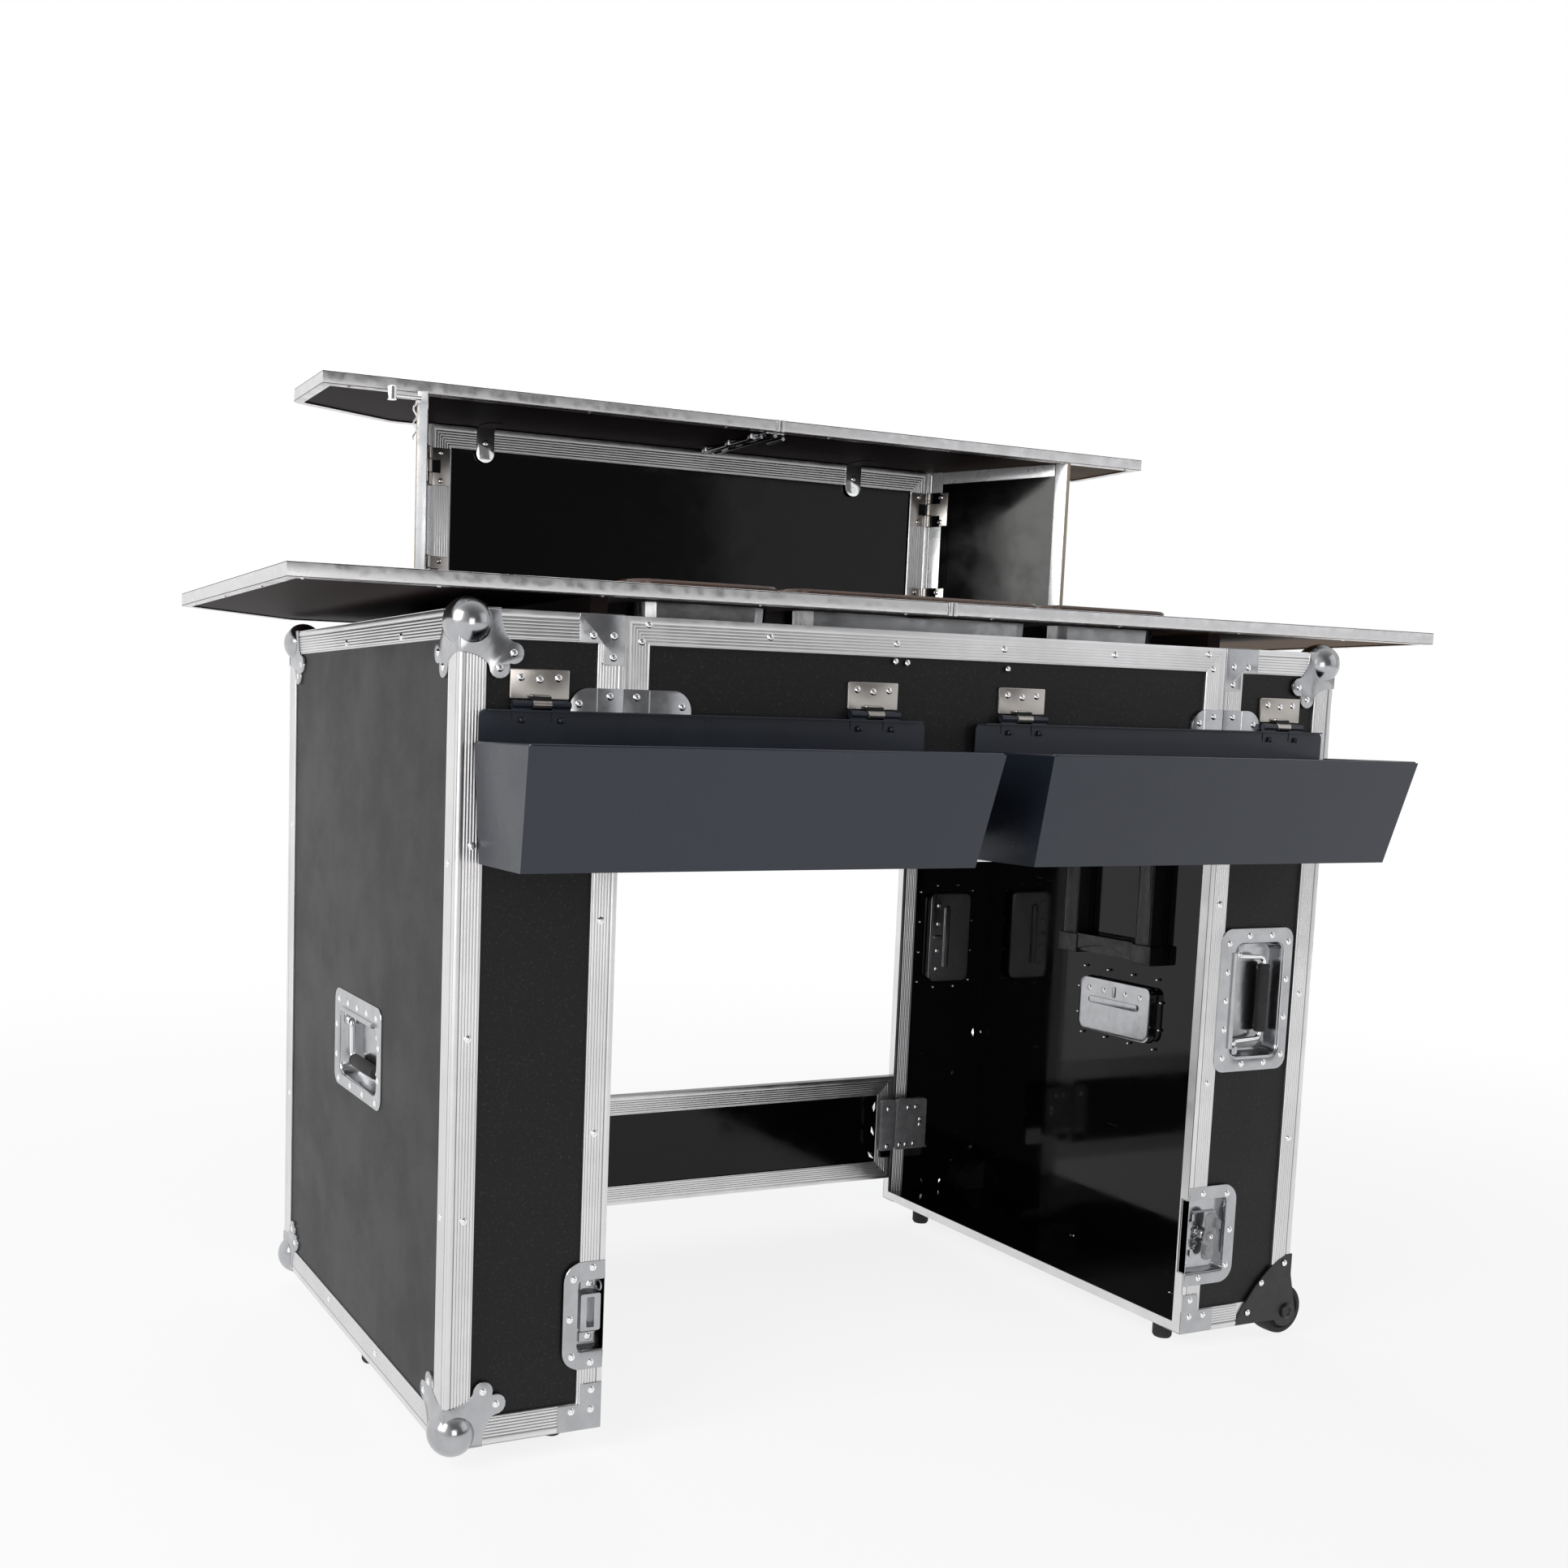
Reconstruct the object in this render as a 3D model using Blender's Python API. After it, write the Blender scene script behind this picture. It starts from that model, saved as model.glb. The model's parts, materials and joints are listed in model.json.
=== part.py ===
"""Folding bar flight case, set up as a bar: two open case halves as pedestals, a front apron, a rear kick
board, two bottle trays, a two-part counter with drop-in pans, and a riser that carries a two-part bar top.
Metres, +Z up. X runs along the bar, the bartender stands at -Y, the floor is z = 0."""
import math

import bmesh
import bpy
from mathutils import Matrix, Vector

# Case halves
CASE_W = 1.200
CASE_D = 0.650
CASE_H = 0.880
HALF_T = 0.184
PLY = 0.009
LEG = 0.030
SKIN = 0.0015
GAP = 0.0003
LIP = PLY + 2 * SKIN + 2 * GAP

# Feet, ball corners and flat corner plates
FOOT_H = 0.028
FOOT_R = 0.0125
FOOT_INSET = 0.032
BALL_R = 0.0262
BALL_INSET = 0.0137
BALL_SEAT = 0.2
LEG_REACH = 0.036
LOBES = ((0.0585, 0.0435), (0.0435, 0.0585))
LOBE_R = 0.0105
PLATE = 0.0012
TAB_LONG = 0.052
TAB_SHORT = 0.0255

# Corner wheels
WHEEL_R = 0.038
WHEEL_W = 0.026
AXLE_R = 0.006
BORE_PLAY = 0.0001
ARCH_PLAY = 0.005
HOUSING_WALL = 0.002
HOUSING_LEG = 0.088

# Recessed handles: the cup sits lower in the flange than its middle, away from the pivot
DISH_W = 0.186
DISH_H = 0.122
DISH_CORNER = 0.016
CUP_W = 0.146
CUP_H = 0.080
CUP_DEPTH = 0.020
CUP_SHIFT = 0.0055
CUP_DRAFT = 0.006
SHEET = 0.0012
SIDE_HANDLE_Z = 0.370
SLIM_HANDLE_Z = 0.4355
SLIM_HANDLE_U = 0.098
ROD_R = 0.0030
GRIP_R = 0.0075
BAIL_HALF = 0.065
BAIL_OUT = -0.0095
BAIL_DROP = 0.046
PIVOT_DOWN = 0.013
LUG_R = 0.0055
LUG_GRIP = 0.0045

# Latches on the front of the case halves
LATCH_Z = 0.1285
KEEPER_W = 0.049
KEEPER_H = 0.121
KEEPER_CUP_W = 0.031
KEEPER_CUP_H = 0.077
LATCH_W = 0.081
LATCH_H = 0.131
LATCH_CUP_W = 0.064
LATCH_CUP_H = 0.095
LATCH_CORNER = 0.022
LATCH_DEPTH = 0.0092
LATCH_STUD_A = 0.035
BACK_LATCH_Z = 0.1175
JOIN_LATCH_Z = CASE_H - 0.141
JOIN_LATCH_H = 0.130
JOIN_LATCH_W = 0.062
WING_LEN = 0.064
WING_T = 0.0022
WING_OUT = 0.0028
STUD_R = 0.0032

# Trolley handle inside the right half
TROLLEY_Y = 0.342
TROLLEY_SPAN = 0.152
TROLLEY_FOOT_Z = 0.440
SLEEVE_W = 0.032
SLEEVE_T = 0.020
TROLLEY_ROD_R = 0.0060
TROLLEY_LIFT = 0.008
GRIP_H = 0.014

# Apron and kick board
APRON_H = 0.262
KICK_Z = 0.036
KICK_H = 0.170

# Bottle trays
TRAY_OUT = 0.147
TRAY_BACK_GAP = 0.006
TRAY_INNER_X = 0.032
TRAY_OUTER_X = 0.584
TRAY_TAPER = 0.008
TRAY_SLOPE = 0.032
TRAY_TOP_Z = CASE_H - 0.095
TRAY_LIP_Z = TRAY_TOP_Z - 0.040
TRAY_BASE_Z = TRAY_TOP_Z - 0.163
TRAY_SHEET = 0.0015
HINGE_X = (0.104, 0.5115)
HINGE_LEAF_W = 0.066
HINGE_LEAF_H = 0.030
HINGE_PIN_R = 0.0020
KNUCKLE_R = 0.0042

# Counter
COUNTER_HALF = 0.7775
COUNTER_RISE = 0.020
BEARER_W = 0.020
BEARER_IN = 0.004
COUNTER_D = 0.690
BOARD_T = 0.0145
EDGE_TRIM = 0.014
EDGE_LIP = 0.0012
COUNTER_CLIP_X = 0.180
COUNTER_CLIP_Y = 0.176
PAN_Y = 0.062
PAN_LEN = 0.270
PAN_DEPTH = 0.100
PAN_RIM = 0.008
PAN_WALL = 0.0012
PAN_CORNER = 0.024
SIDE_PAN_X = (0.196, 0.372)
MID_PAN_X = 0.170
LID_T = 0.0040
LID_LIFT = 0.040

# Riser and bar top
RISER_Y = 0.577
RISER_X = (-0.430, 0.379)
RISER_H = 0.2485
WING_L = 0.208
WING_SPLAY = (19.5, 30.0)
BOARD_CORE = 0.012
PANEL_SUNK = 0.0015
HINGE_OFF = 0.0040
HINGE_BARREL_R = 0.0036
HINGE_LEN = 0.052
HINGE_AT = (0.0485, 0.056)
BAR_HALF = (0.6335, 0.6255)
BAR_D = 0.210
BAR_Y = 0.390
BAR_CLIP_X = 0.150
BAR_CLIP_Y = 0.070
BRACKET_X = (-0.352, 0.243)
BRACKET_W = 0.026
BRACKET_DROP = 0.046
BRACKET_T = 0.0022

# Places that follow from the sizes above
FRONT = (TRAY_OUT - COUNTER_D) / 2
BACK = FRONT + CASE_D
BASE = FOOT_H
TOP = FOOT_H + CASE_H
SIDE = CASE_W / 2
INNER = SIDE - HALF_T
SHELL = SKIN + GAP
COUNTER_Z = TOP + COUNTER_RISE
RISER_Z = COUNTER_Z + BOARD_T + GAP
BAR_Z = RISER_Z + RISER_H + GAP
FAR = 0.05

PALETTE = {
    "laminate": ((0.030, 0.029, 0.030), 0.45, 0.0),
    "aluminium": ((0.72, 0.73, 0.74), 0.35, 1.0),
    "zinc": ((0.62, 0.63, 0.65), 0.25, 1.0),
    "rubber": ((0.02, 0.02, 0.02), 0.8, 0.0),
    "black_plastic": ((0.015, 0.015, 0.016), 0.4, 0.0),
    "tray_coat": ((0.035, 0.040, 0.055), 0.4, 0.2),
    "board": ((0.07, 0.035, 0.025), 0.5, 0.0),
    "steel": ((0.70, 0.71, 0.72), 0.2, 1.0),
}


def material(name):
    """Principled material of the palette, made once."""
    found = bpy.data.materials.get(name)
    if found:
        return found
    colour, rough, metal = PALETTE[name]
    made = bpy.data.materials.new(name)
    made.use_nodes = True
    shader = made.node_tree.nodes["Principled BSDF"]
    shader.inputs["Base Color"].default_value = (*colour, 1.0)
    shader.inputs["Roughness"].default_value = rough
    shader.inputs["Metallic"].default_value = metal
    return made


def clear_scene():
    for old in list(bpy.data.objects):
        bpy.data.objects.remove(old, do_unlink=True)


def put(name, bm, finish, origin=(0, 0, 0)):
    """Object from a bmesh in world coordinates, with its own origin at the given point."""
    bmesh.ops.translate(bm, vec=-Vector(origin), verts=bm.verts)
    bmesh.ops.recalc_face_normals(bm, faces=bm.faces)
    mesh = bpy.data.meshes.new(name)
    bm.to_mesh(mesh)
    bm.free()
    mesh.materials.append(material(finish))
    piece = bpy.data.objects.new(name, mesh)
    piece.location = origin
    bpy.context.scene.collection.objects.link(piece)
    return piece


def box(name, lo, hi, finish="laminate", origin=(0, 0, 0)):
    bm = bmesh.new()
    size = [hi[k] - lo[k] for k in range(3)]
    centre = [(hi[k] + lo[k]) / 2 for k in range(3)]
    bmesh.ops.create_cube(bm, size=1.0, matrix=Matrix.Translation(centre) @ Matrix.Diagonal((*size, 1.0)))
    return put(name, bm, finish, origin)


def loft(name, loops, finish, origin=(0, 0, 0)):
    """Closed solid through equal loops of points, with the first and the last loop capped."""
    bm = bmesh.new()
    rings = [[bm.verts.new(p) for p in loop] for loop in loops]
    count = len(rings[0])
    for a, b in zip(rings, rings[1:]):
        for k in range(count):
            n = (k + 1) % count
            bm.faces.new((a[k], a[n], b[n], b[k]))
    bm.faces.new(list(reversed(rings[0])))
    bm.faces.new(rings[-1])
    return put(name, bm, finish, origin)


def plane(axis, side=1.0):
    """Map (a, b, out) to world: a and b lie in the face, out points along the given axis and side."""
    if axis == "x":
        return lambda a, b, out, at: (at[0] + side * out, at[1] + a, at[2] + b)
    if axis == "y":
        return lambda a, b, out, at: (at[0] + a, at[1] + side * out, at[2] + b)
    return lambda a, b, out, at: (at[0] + a, at[1] + b, at[2] + side * out)


def round_rect(width, height, radius, steps=3):
    """Points of a rectangle with round corners, centred on the origin."""
    radius = min(radius, 0.49 * min(width, height))
    points = []
    for quarter, (sx, sy) in enumerate(((1, 1), (-1, 1), (-1, -1), (1, -1))):
        cx = sx * (width / 2 - radius)
        cy = sy * (height / 2 - radius)
        for k in range(steps + 1):
            turn = math.radians(90 * quarter + 90 * k / steps)
            points.append((cx + radius * math.cos(turn), cy + radius * math.sin(turn)))
    return points


def circle(radius, steps, start=0.0):
    turns = [start + 2 * math.pi * k / steps for k in range(steps)]
    return [(radius * math.cos(t), radius * math.sin(t)) for t in turns]


def slab(name, outline, frame, at, lo, hi, finish="zinc", origin=(0, 0, 0)):
    """Flat outline extruded from lo to hi along the out direction of the frame."""
    loops = [[frame(a, b, out, at) for a, b in outline] for out in (lo, hi)]
    return loft(name, loops, finish, origin)


def layered(name, layers, frame, at, finish, origin=(0, 0, 0)):
    """Loft through round rectangles: each layer is (width, height, radius, out)."""
    loops = [[frame(a, b, out, at) for a, b in round_rect(w, h, r)] for w, h, r, out in layers]
    return loft(name, loops, finish, origin)


def turned(name, profile, frame, at, steps, finish, origin=(0, 0, 0)):
    """Solid of revolution: profile is a list of (radius, out)."""
    start = -math.pi / 2
    loops = [[frame(a, b, out, at) for a, b in circle(r, steps, start)] for r, out in profile]
    return loft(name, loops, finish, origin)


def tube(name, path, radii, sides, finish, origin=(0, 0, 0)):
    """Round bar along a planar path, with a radius at each point."""
    path = [Vector(p) for p in path]
    normal = (path[1] - path[0]).cross(path[2] - path[1]) if len(path) > 2 else Vector((0, 0, 1))
    if normal.length < 1e-9:
        normal = (path[1] - path[0]).orthogonal()
    normal.normalize()
    loops = []
    for k, point in enumerate(path):
        before = (point - path[k - 1]).normalized() if k else (path[1] - point).normalized()
        after = (path[k + 1] - point).normalized() if k + 1 < len(path) else before
        along = (before + after).normalized()
        across = along.cross(normal).normalized()
        ring = [point + radii[k] * (math.cos(t) * normal + math.sin(t) * across)
                for t in (2 * math.pi * s / sides for s in range(sides))]
        loops.append(ring)
    return loft(name, loops, finish, origin)


def hide(tool):
    tool.hide_render = True
    tool.display_type = "WIRE"


def boolean(piece, tools, operation):
    for tool in tools:
        hide(tool)
        step = piece.modifiers.new(operation.lower(), "BOOLEAN")
        step.operation = operation
        step.object = tool
        step.solver = "EXACT"
    return piece


def cut(piece, *tools):
    return boolean(piece, tools, "DIFFERENCE")


def fuse(piece, *tools):
    return boolean(piece, tools, "UNION")


def move_origin(piece, point):
    """Set the object's origin on a joint axis and leave the shape where it is."""
    piece.data.transform(Matrix.Translation(-Vector(point)))
    piece.location = point


def smooth(piece, angle=35.0):
    piece.data.shade_smooth()
    piece.data.set_sharp_from_angle(angle=math.radians(angle))


def span(side, a, b):
    """Range of x between two distances from the outer face of one case half, low value first."""
    return sorted((side * (SIDE - a), side * (SIDE - b)))


def half_box(name, side, u, y, z, finish="laminate"):
    """Box in one case half: u is measured from the outer face inwards."""
    lo, hi = span(side, *u)
    return box(name, (lo, y[0], z[0]), (hi, y[1], z[1]), finish)


def case_panels(label, side):
    """Five plywood boards of one half; the extrusions cover their edges."""
    y0 = FRONT + SHELL
    y1 = BACK - SHELL
    z0 = BASE + SHELL
    z1 = TOP - SHELL
    u0 = SHELL + PLY + GAP
    u1 = HALF_T - SHELL
    inner_y = (y0 + PLY + GAP, y1 - PLY - GAP)
    boards = {
        "side_panel": ((SHELL, SHELL + PLY), (y0, y1), (z0, z1)),
        "front_panel": ((u0, u1), (y0, y0 + PLY), (z0, z1)),
        "back_panel": ((u0, u1), (y1 - PLY, y1), (z0, z1)),
        "top_panel": ((u0, u1), inner_y, (z1 - PLY, z1)),
        "bottom_panel": ((u0, u1), inner_y, (z0, z0 + PLY)),
    }
    return {key: half_box(f"{label}_{key}", side, *place) for key, place in boards.items()}


def corner_plate(name, side, y_out, up):
    """Flat L plate over the mitre of the rim, on the front (y_out = -1) or the back face."""
    x = side * INNER
    z = TOP if up > 0 else BASE
    outline = [(0, 0), (TAB_LONG, 0), (TAB_LONG, -LEG), (TAB_SHORT, -LEG), (TAB_SHORT, -TAB_LONG), (0, -TAB_LONG)]
    outline = [(side * (a + GAP), up * b) for a, b in outline]
    face = FRONT if y_out < 0 else BACK
    return slab(name, outline, plane("y", y_out), (x, face, z), -SKIN / 2, PLATE, "zinc")


def case_frame(label, side):
    """Angle extrusions on every edge and the closing profile of the open side, as one riveted frame."""
    frame = half_box(f"{label}_frame", side, (0, HALF_T), (FRONT, BACK), (BASE, TOP), "aluminium")
    hollow = half_box(f"{label}_cut_hollow", side, (SKIN, HALF_T - SKIN), (FRONT + SKIN, BACK - SKIN),
                      (BASE + SKIN, TOP - SKIN))
    mouth = half_box(f"{label}_cut_mouth", side, (HALF_T / 2, HALF_T + FAR), (FRONT + LIP, BACK - LIP),
                     (BASE + LIP, TOP - LIP))
    face = half_box(f"{label}_cut_side", side, (-FAR, HALF_T / 2), (FRONT + LEG, BACK - LEG),
                    (BASE + LEG, TOP - LEG))
    ends = half_box(f"{label}_cut_ends", side, (LEG, HALF_T - LEG), (FRONT - FAR, BACK + FAR),
                    (BASE + LEG, TOP - LEG))
    caps = half_box(f"{label}_cut_caps", side, (LEG, HALF_T - LEG), (FRONT + LEG, BACK - LEG),
                    (BASE - FAR, TOP + FAR))
    cut(frame, hollow, mouth, face, ends, caps)
    for y_out in (-1, 1):
        for up in (-1, 1):
            fuse(frame, corner_plate(f"{label}_plate_{y_out}_{up}", side, y_out, up))
    return frame


def leg_outline(reach, steps=5):
    """One leg of a ball corner seen square on: from the corner along both edges, then hollow to two lobes."""
    out = PLATE + GAP
    points = [(-out, -out), (LEG_REACH, -out)]
    far, near = LOBES
    for k in range(1, 4):
        t = k / 4
        points.append((LEG_REACH + reach * t ** 1.6, 0.034 * t))
    for (a, b), first, last in ((far, -45, 95), (near, -5, 135)):
        for k in range(steps):
            turn = math.radians(first + (last - first) * k / (steps - 1))
            points.append((a + LOBE_R * math.cos(turn), b + LOBE_R * math.sin(turn)))
    for k in (3, 2, 1):
        t = k / 4
        points.append((0.034 * t, LEG_REACH + reach * t ** 1.6))
    points.append((-out, LEG_REACH))
    return points


def ball_corner(name, side, deep, up):
    """Ball corner: the part of a sphere outside the case, on three pressed legs that wrap round the edges."""
    corner = Vector((side * SIDE, FRONT if deep < 0 else BACK, TOP if up > 0 else BASE))
    inward = Vector((-side, -deep, -up))
    bm = bmesh.new()
    bmesh.ops.create_uvsphere(bm, u_segments=20, v_segments=12, radius=BALL_R,
                              matrix=Matrix.Translation(corner + BALL_INSET * inward))
    ball = put(name, bm, "zinc")
    outline = leg_outline(0.010)
    for axis in range(3):
        flat = [k for k in range(3) if k != axis]
        loops = []
        for out in (-SKIN, PLATE + GAP):
            loop = []
            for a, b in outline:
                point = list(corner)
                point[flat[0]] += inward[flat[0]] * a
                point[flat[1]] += inward[flat[1]] * b
                point[axis] -= inward[axis] * out
                loop.append(point)
            loops.append(loop)
        fuse(ball, loft(f"{name}_leg_{axis}", loops, "zinc"))
    seat = [corner - GAP * inward, corner + BALL_SEAT * inward]
    lo = [min(seat[0][k], seat[1][k]) for k in range(3)]
    hi = [max(seat[0][k], seat[1][k]) for k in range(3)]
    cut(ball, box(f"{name}_seat", lo, hi))
    smooth(ball)
    return ball


def foot(name, x, y):
    """Turned rubber foot under a bottom board, standing on the floor."""
    profile = ((FOOT_R * 0.86, 0.0), (FOOT_R, 0.003), (FOOT_R, BASE - 0.004), (FOOT_R * 1.1, BASE - GAP))
    piece = turned(name, profile, plane("z"), (x, y, 0.0), 14, "rubber")
    smooth(piece)
    return piece


def dish(name, frame, at):
    """Pressed handle dish: a flange on the face and a cup sunk into the board, at an even sheet thickness."""
    inner = (CUP_W - CUP_DRAFT, CUP_H - CUP_DRAFT, DISH_CORNER * 0.7)
    mouth = (CUP_W, CUP_H, DISH_CORNER * 0.8)
    outer = (CUP_W + 2 * SHEET, CUP_H + 2 * SHEET, DISH_CORNER * 0.8)
    under = (CUP_W - CUP_DRAFT + 2 * SHEET, CUP_H - CUP_DRAFT + 2 * SHEET, DISH_CORNER * 0.7)
    flange = (DISH_W, DISH_H, DISH_CORNER)
    layers = ((inner, -CUP_DEPTH, CUP_SHIFT), (mouth, SHEET + GAP, CUP_SHIFT), (flange, SHEET + GAP, 0.0),
              (flange, GAP, 0.0), (outer, GAP, CUP_SHIFT), (under, -CUP_DEPTH - SHEET, CUP_SHIFT))
    loops = [[frame(a, b - shift, out, at) for a, b in round_rect(*size)] for size, out, shift in layers]
    return loft(name, loops, "zinc")


def dish_hole(name, frame, at):
    """Cutter for the boards and extrusions behind a handle dish."""
    room = 2 * SHEET + 2 * GAP
    outline = [(a, b - CUP_SHIFT) for a, b in round_rect(CUP_W + room, CUP_H + room, DISH_CORNER * 0.8)]
    return slab(name, outline, frame, at, -0.03, 0.03)


def half_outline(width, height, corner):
    """D-shaped outline: straight at the joint, a = 0, and round at the two far corners."""
    points = [(GAP, -height / 2)]
    for quarter, (cy, sign) in enumerate(((-height / 2 + corner, -1), (height / 2 - corner, 1))):
        for k in range(6):
            turn = math.radians(18 * k)
            reach, rise = (math.sin(turn), -math.cos(turn)) if quarter == 0 else (math.cos(turn), math.sin(turn))
            points.append((width - corner + corner * reach, cy + corner * rise))
    points.append((GAP, height / 2))
    return points


def half_dish(name, frame, at, flange, cup):
    """Half of a latch dish: D-shaped flange, and a cup that is open to the front and towards the joint."""
    height = flange[1] / 2
    width, half = cup[0], cup[1] / 2
    piece = slab(name, half_outline(flange[0], 2 * height, LATCH_CORNER), frame, at, GAP, GAP + SHEET)
    wall = [(GAP, -half - SHEET), (width + SHEET, -half - SHEET), (width + SHEET, half + SHEET), (GAP, half + SHEET)]
    room = [(-FAR, -half), (width, -half), (width, half), (-FAR, half)]
    fuse(piece, slab(f"{name}_cup", wall, frame, at, -LATCH_DEPTH - SHEET, GAP + SHEET / 2))
    return cut(piece, slab(f"{name}_room", room, frame, at, -LATCH_DEPTH, FAR))


def half_holes(name, frame, at, cup, board, rim):
    """Cut the board right through behind a half dish, and the rim as deep as the cup is."""
    a = cup[0] + SHEET + GAP
    b = cup[1] / 2 + SHEET + GAP
    outline = [(-FAR, -b), (a, -b), (a, b), (-FAR, b)]
    cut(board, slab(f"{name}_board", outline, frame, at, -0.03, 0.03))
    cut(rim, slab(f"{name}_rim", outline, frame, at, -LATCH_DEPTH - SHEET - GAP, 0.03))


def bail(name, frame, at):
    """Swinging handle: a bent rod hung at both ends, with a thick grip on its free side."""
    bend = 0.006
    points = [(-BAIL_HALF, 0.0), (-BAIL_HALF + bend, 0.0), (-BAIL_HALF + 2 * bend, -bend)]
    points += [(-BAIL_HALF + 2 * bend, -BAIL_DROP + bend), (-BAIL_HALF + 3 * bend, -BAIL_DROP)]
    points += [(-BAIL_HALF + 3.2 * bend, -BAIL_DROP), (-BAIL_HALF + 3.3 * bend, -BAIL_DROP)]
    radii = [ROD_R] * 6 + [GRIP_R]
    points += [(-a, b) for a, b in reversed(points)]
    radii += list(reversed(radii))
    path = [frame(a, b, BAIL_OUT, at) for a, b in points]
    piece = tube(name, path, radii, 8, "rubber")
    move_origin(piece, frame(0, 0, BAIL_OUT, at))
    smooth(piece)
    return piece


def lugs(piece, name, frame, at):
    """Two bored lugs in the ends of a cup that hold the ends of the bail."""
    def along(p, q, out, spot):
        return frame(out, p, q, spot)

    near = BAIL_HALF - LUG_GRIP
    far = CUP_W / 2 + SHEET * 0.35
    for end in (-1, 1):
        low, high = sorted((end * near, end * far))
        corners = [(low, -LUG_R), (high, -LUG_R), (high, LUG_R), (low, LUG_R)]
        fuse(piece, slab(f"{name}_lug_{end}", corners, frame, at, -CUP_DEPTH - SHEET * 0.4, BAIL_OUT + LUG_R))
        profile = ((ROD_R + BORE_PLAY, end * (near - 0.002)), (ROD_R + BORE_PLAY, end * (BAIL_HALF + GAP)))
        cut(piece, turned(f"{name}_eye_{end}", profile, along, frame(0, 0, BAIL_OUT, at), 16, "zinc"))


def recessed_handle(label, frame, at, *behind):
    """Handle in local axes: a runs along the grip, b points from the grip to the pivot, out leaves the case."""
    piece = dish(f"{label}_dish", frame, at)
    hole = dish_hole(f"{label}_hole", frame, at)
    for board in behind:
        cut(board, hole)
    pivot = frame(0, CUP_H / 2 - CUP_SHIFT - PIVOT_DOWN, 0, at)
    lugs(piece, label, frame, pivot)
    bail(f"{label}_bail", frame, pivot)


def side_handle(label, side, panels):
    """Handle in the outer face of one half, hung from its upper edge."""
    at = (side * (SIDE - SHELL), FRONT + CASE_D / 2, BASE + SIDE_HANDLE_Z)
    recessed_handle(f"{label}_handle", plane("x", side), at, panels["side_panel"])


def slim_handle(label, deep, panel, frame_piece):
    """The same handle upright in a narrow wall of the right half, hung from its side next to the joint."""
    def upright(a, b, out, spot):
        return (spot[0] - b, spot[1] + deep * out, spot[2] + a)

    face = FRONT - GAP if deep < 0 else BACK + GAP
    at = (SIDE - SLIM_HANDLE_U, face, BASE + SLIM_HANDLE_Z)
    recessed_handle(f"right_{label}", upright, at, panel, frame_piece)


def joint_map(side, deep):
    """Local axes at the joint edge of one half: a runs away from the joint, out leaves the case."""
    return lambda a, b, out, at: (at[0] + side * a, at[1] + deep * out, at[2] + b)


def keeper(left, frame_piece):
    """Latch keeper at the foot of the left half: half dish with a raised block that has a slot in it."""
    frame = joint_map(-1, -1)
    at = (-INNER, FRONT, BASE + LATCH_Z)
    cup = (KEEPER_CUP_W, KEEPER_CUP_H)
    piece = half_dish("left_latch_keeper", frame, at, (KEEPER_W, KEEPER_H), cup)
    rise = 0.0035
    block = [(0.0035, rise - 0.0225), (0.0275, rise - 0.0225), (0.0275, rise + 0.0225), (0.0035, rise + 0.0225)]
    slot = [(0.0110, rise - 0.0165), (0.0195, rise - 0.0165), (0.0195, rise + 0.0165), (0.0110, rise + 0.0165)]
    fuse(piece, slab("keeper_block", block, frame, at, -LATCH_DEPTH - SHEET / 2, -0.0010))
    cut(piece, slab("keeper_slot", slot, frame, at, -LATCH_DEPTH + 0.0010, FAR))
    half_holes("keeper_hole", frame, at, cup, left["front_panel"], frame_piece)


def wing_outline():
    """Outline of the latch wing: two round ears on a narrow waist, the same when turned half round."""
    half = WING_LEN / 2
    side = [(0.0095, 0.0), (0.0100, half * 0.36), (0.0118, half * 0.70), (0.0090, half * 0.94), (0.0010, half),
            (-0.0066, half * 0.90), (-0.0086, half * 0.62), (-0.0076, half * 0.30)]
    return side + [(-a, -b) for a, b in side]


def butterfly(right, frame_piece):
    """Twist latch at the foot of the right half: half dish with a hook bar, a stud and the turning wing."""
    frame = joint_map(1, -1)
    edge = (INNER, FRONT, BASE + LATCH_Z)
    cup = (LATCH_CUP_W, LATCH_CUP_H)
    piece = half_dish("right_latch_base", frame, edge, (LATCH_W, LATCH_H), cup)
    bed = [(0.0140, -0.0300), (0.0560, -0.0300), (0.0560, 0.0300), (0.0140, 0.0300)]
    bar = [(0.0015, -0.0190), (0.0200, -0.0190), (0.0200, 0.0190), (0.0015, 0.0190)]
    at = frame(LATCH_STUD_A, 0, 0, edge)
    wing_low = WING_OUT + GAP
    wing_high = wing_low + WING_T
    profile = ((0.0080, -LATCH_DEPTH - SHEET / 2), (0.0080, WING_OUT), (STUD_R, WING_OUT), (STUD_R, wing_high + GAP),
               (STUD_R + 0.0018, wing_high + GAP), (STUD_R + 0.0012, wing_high + 0.0015))
    fuse(piece, slab("latch_bed", bed, frame, edge, -LATCH_DEPTH - SHEET / 2, -0.0058),
         slab("latch_bar", bar, frame, edge, -0.0078, -0.0045), turned("latch_post", profile, frame, at, 20, "zinc"))
    wing = slab("right_latch_wing", wing_outline(), frame, at, wing_low, wing_high)
    bore = ((STUD_R + BORE_PLAY, 0.0), (STUD_R + BORE_PLAY, FAR))
    for end in (-1, 1):
        ridge = [(end * 0.0100, end * 0.010), (end * 0.0118, end * 0.022), (end * 0.0096, end * 0.022),
                 (end * 0.0078, end * 0.010)]
        fuse(wing, slab(f"wing_ridge_{end}", ridge, frame, at, wing_low + 0.0010, wing_high + 0.0065))
    cut(wing, turned("wing_bore", bore, frame, at, 20, "zinc"))
    move_origin(wing, at)
    half_holes("latch_hole", frame, edge, cup, right["front_panel"], frame_piece)


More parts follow.
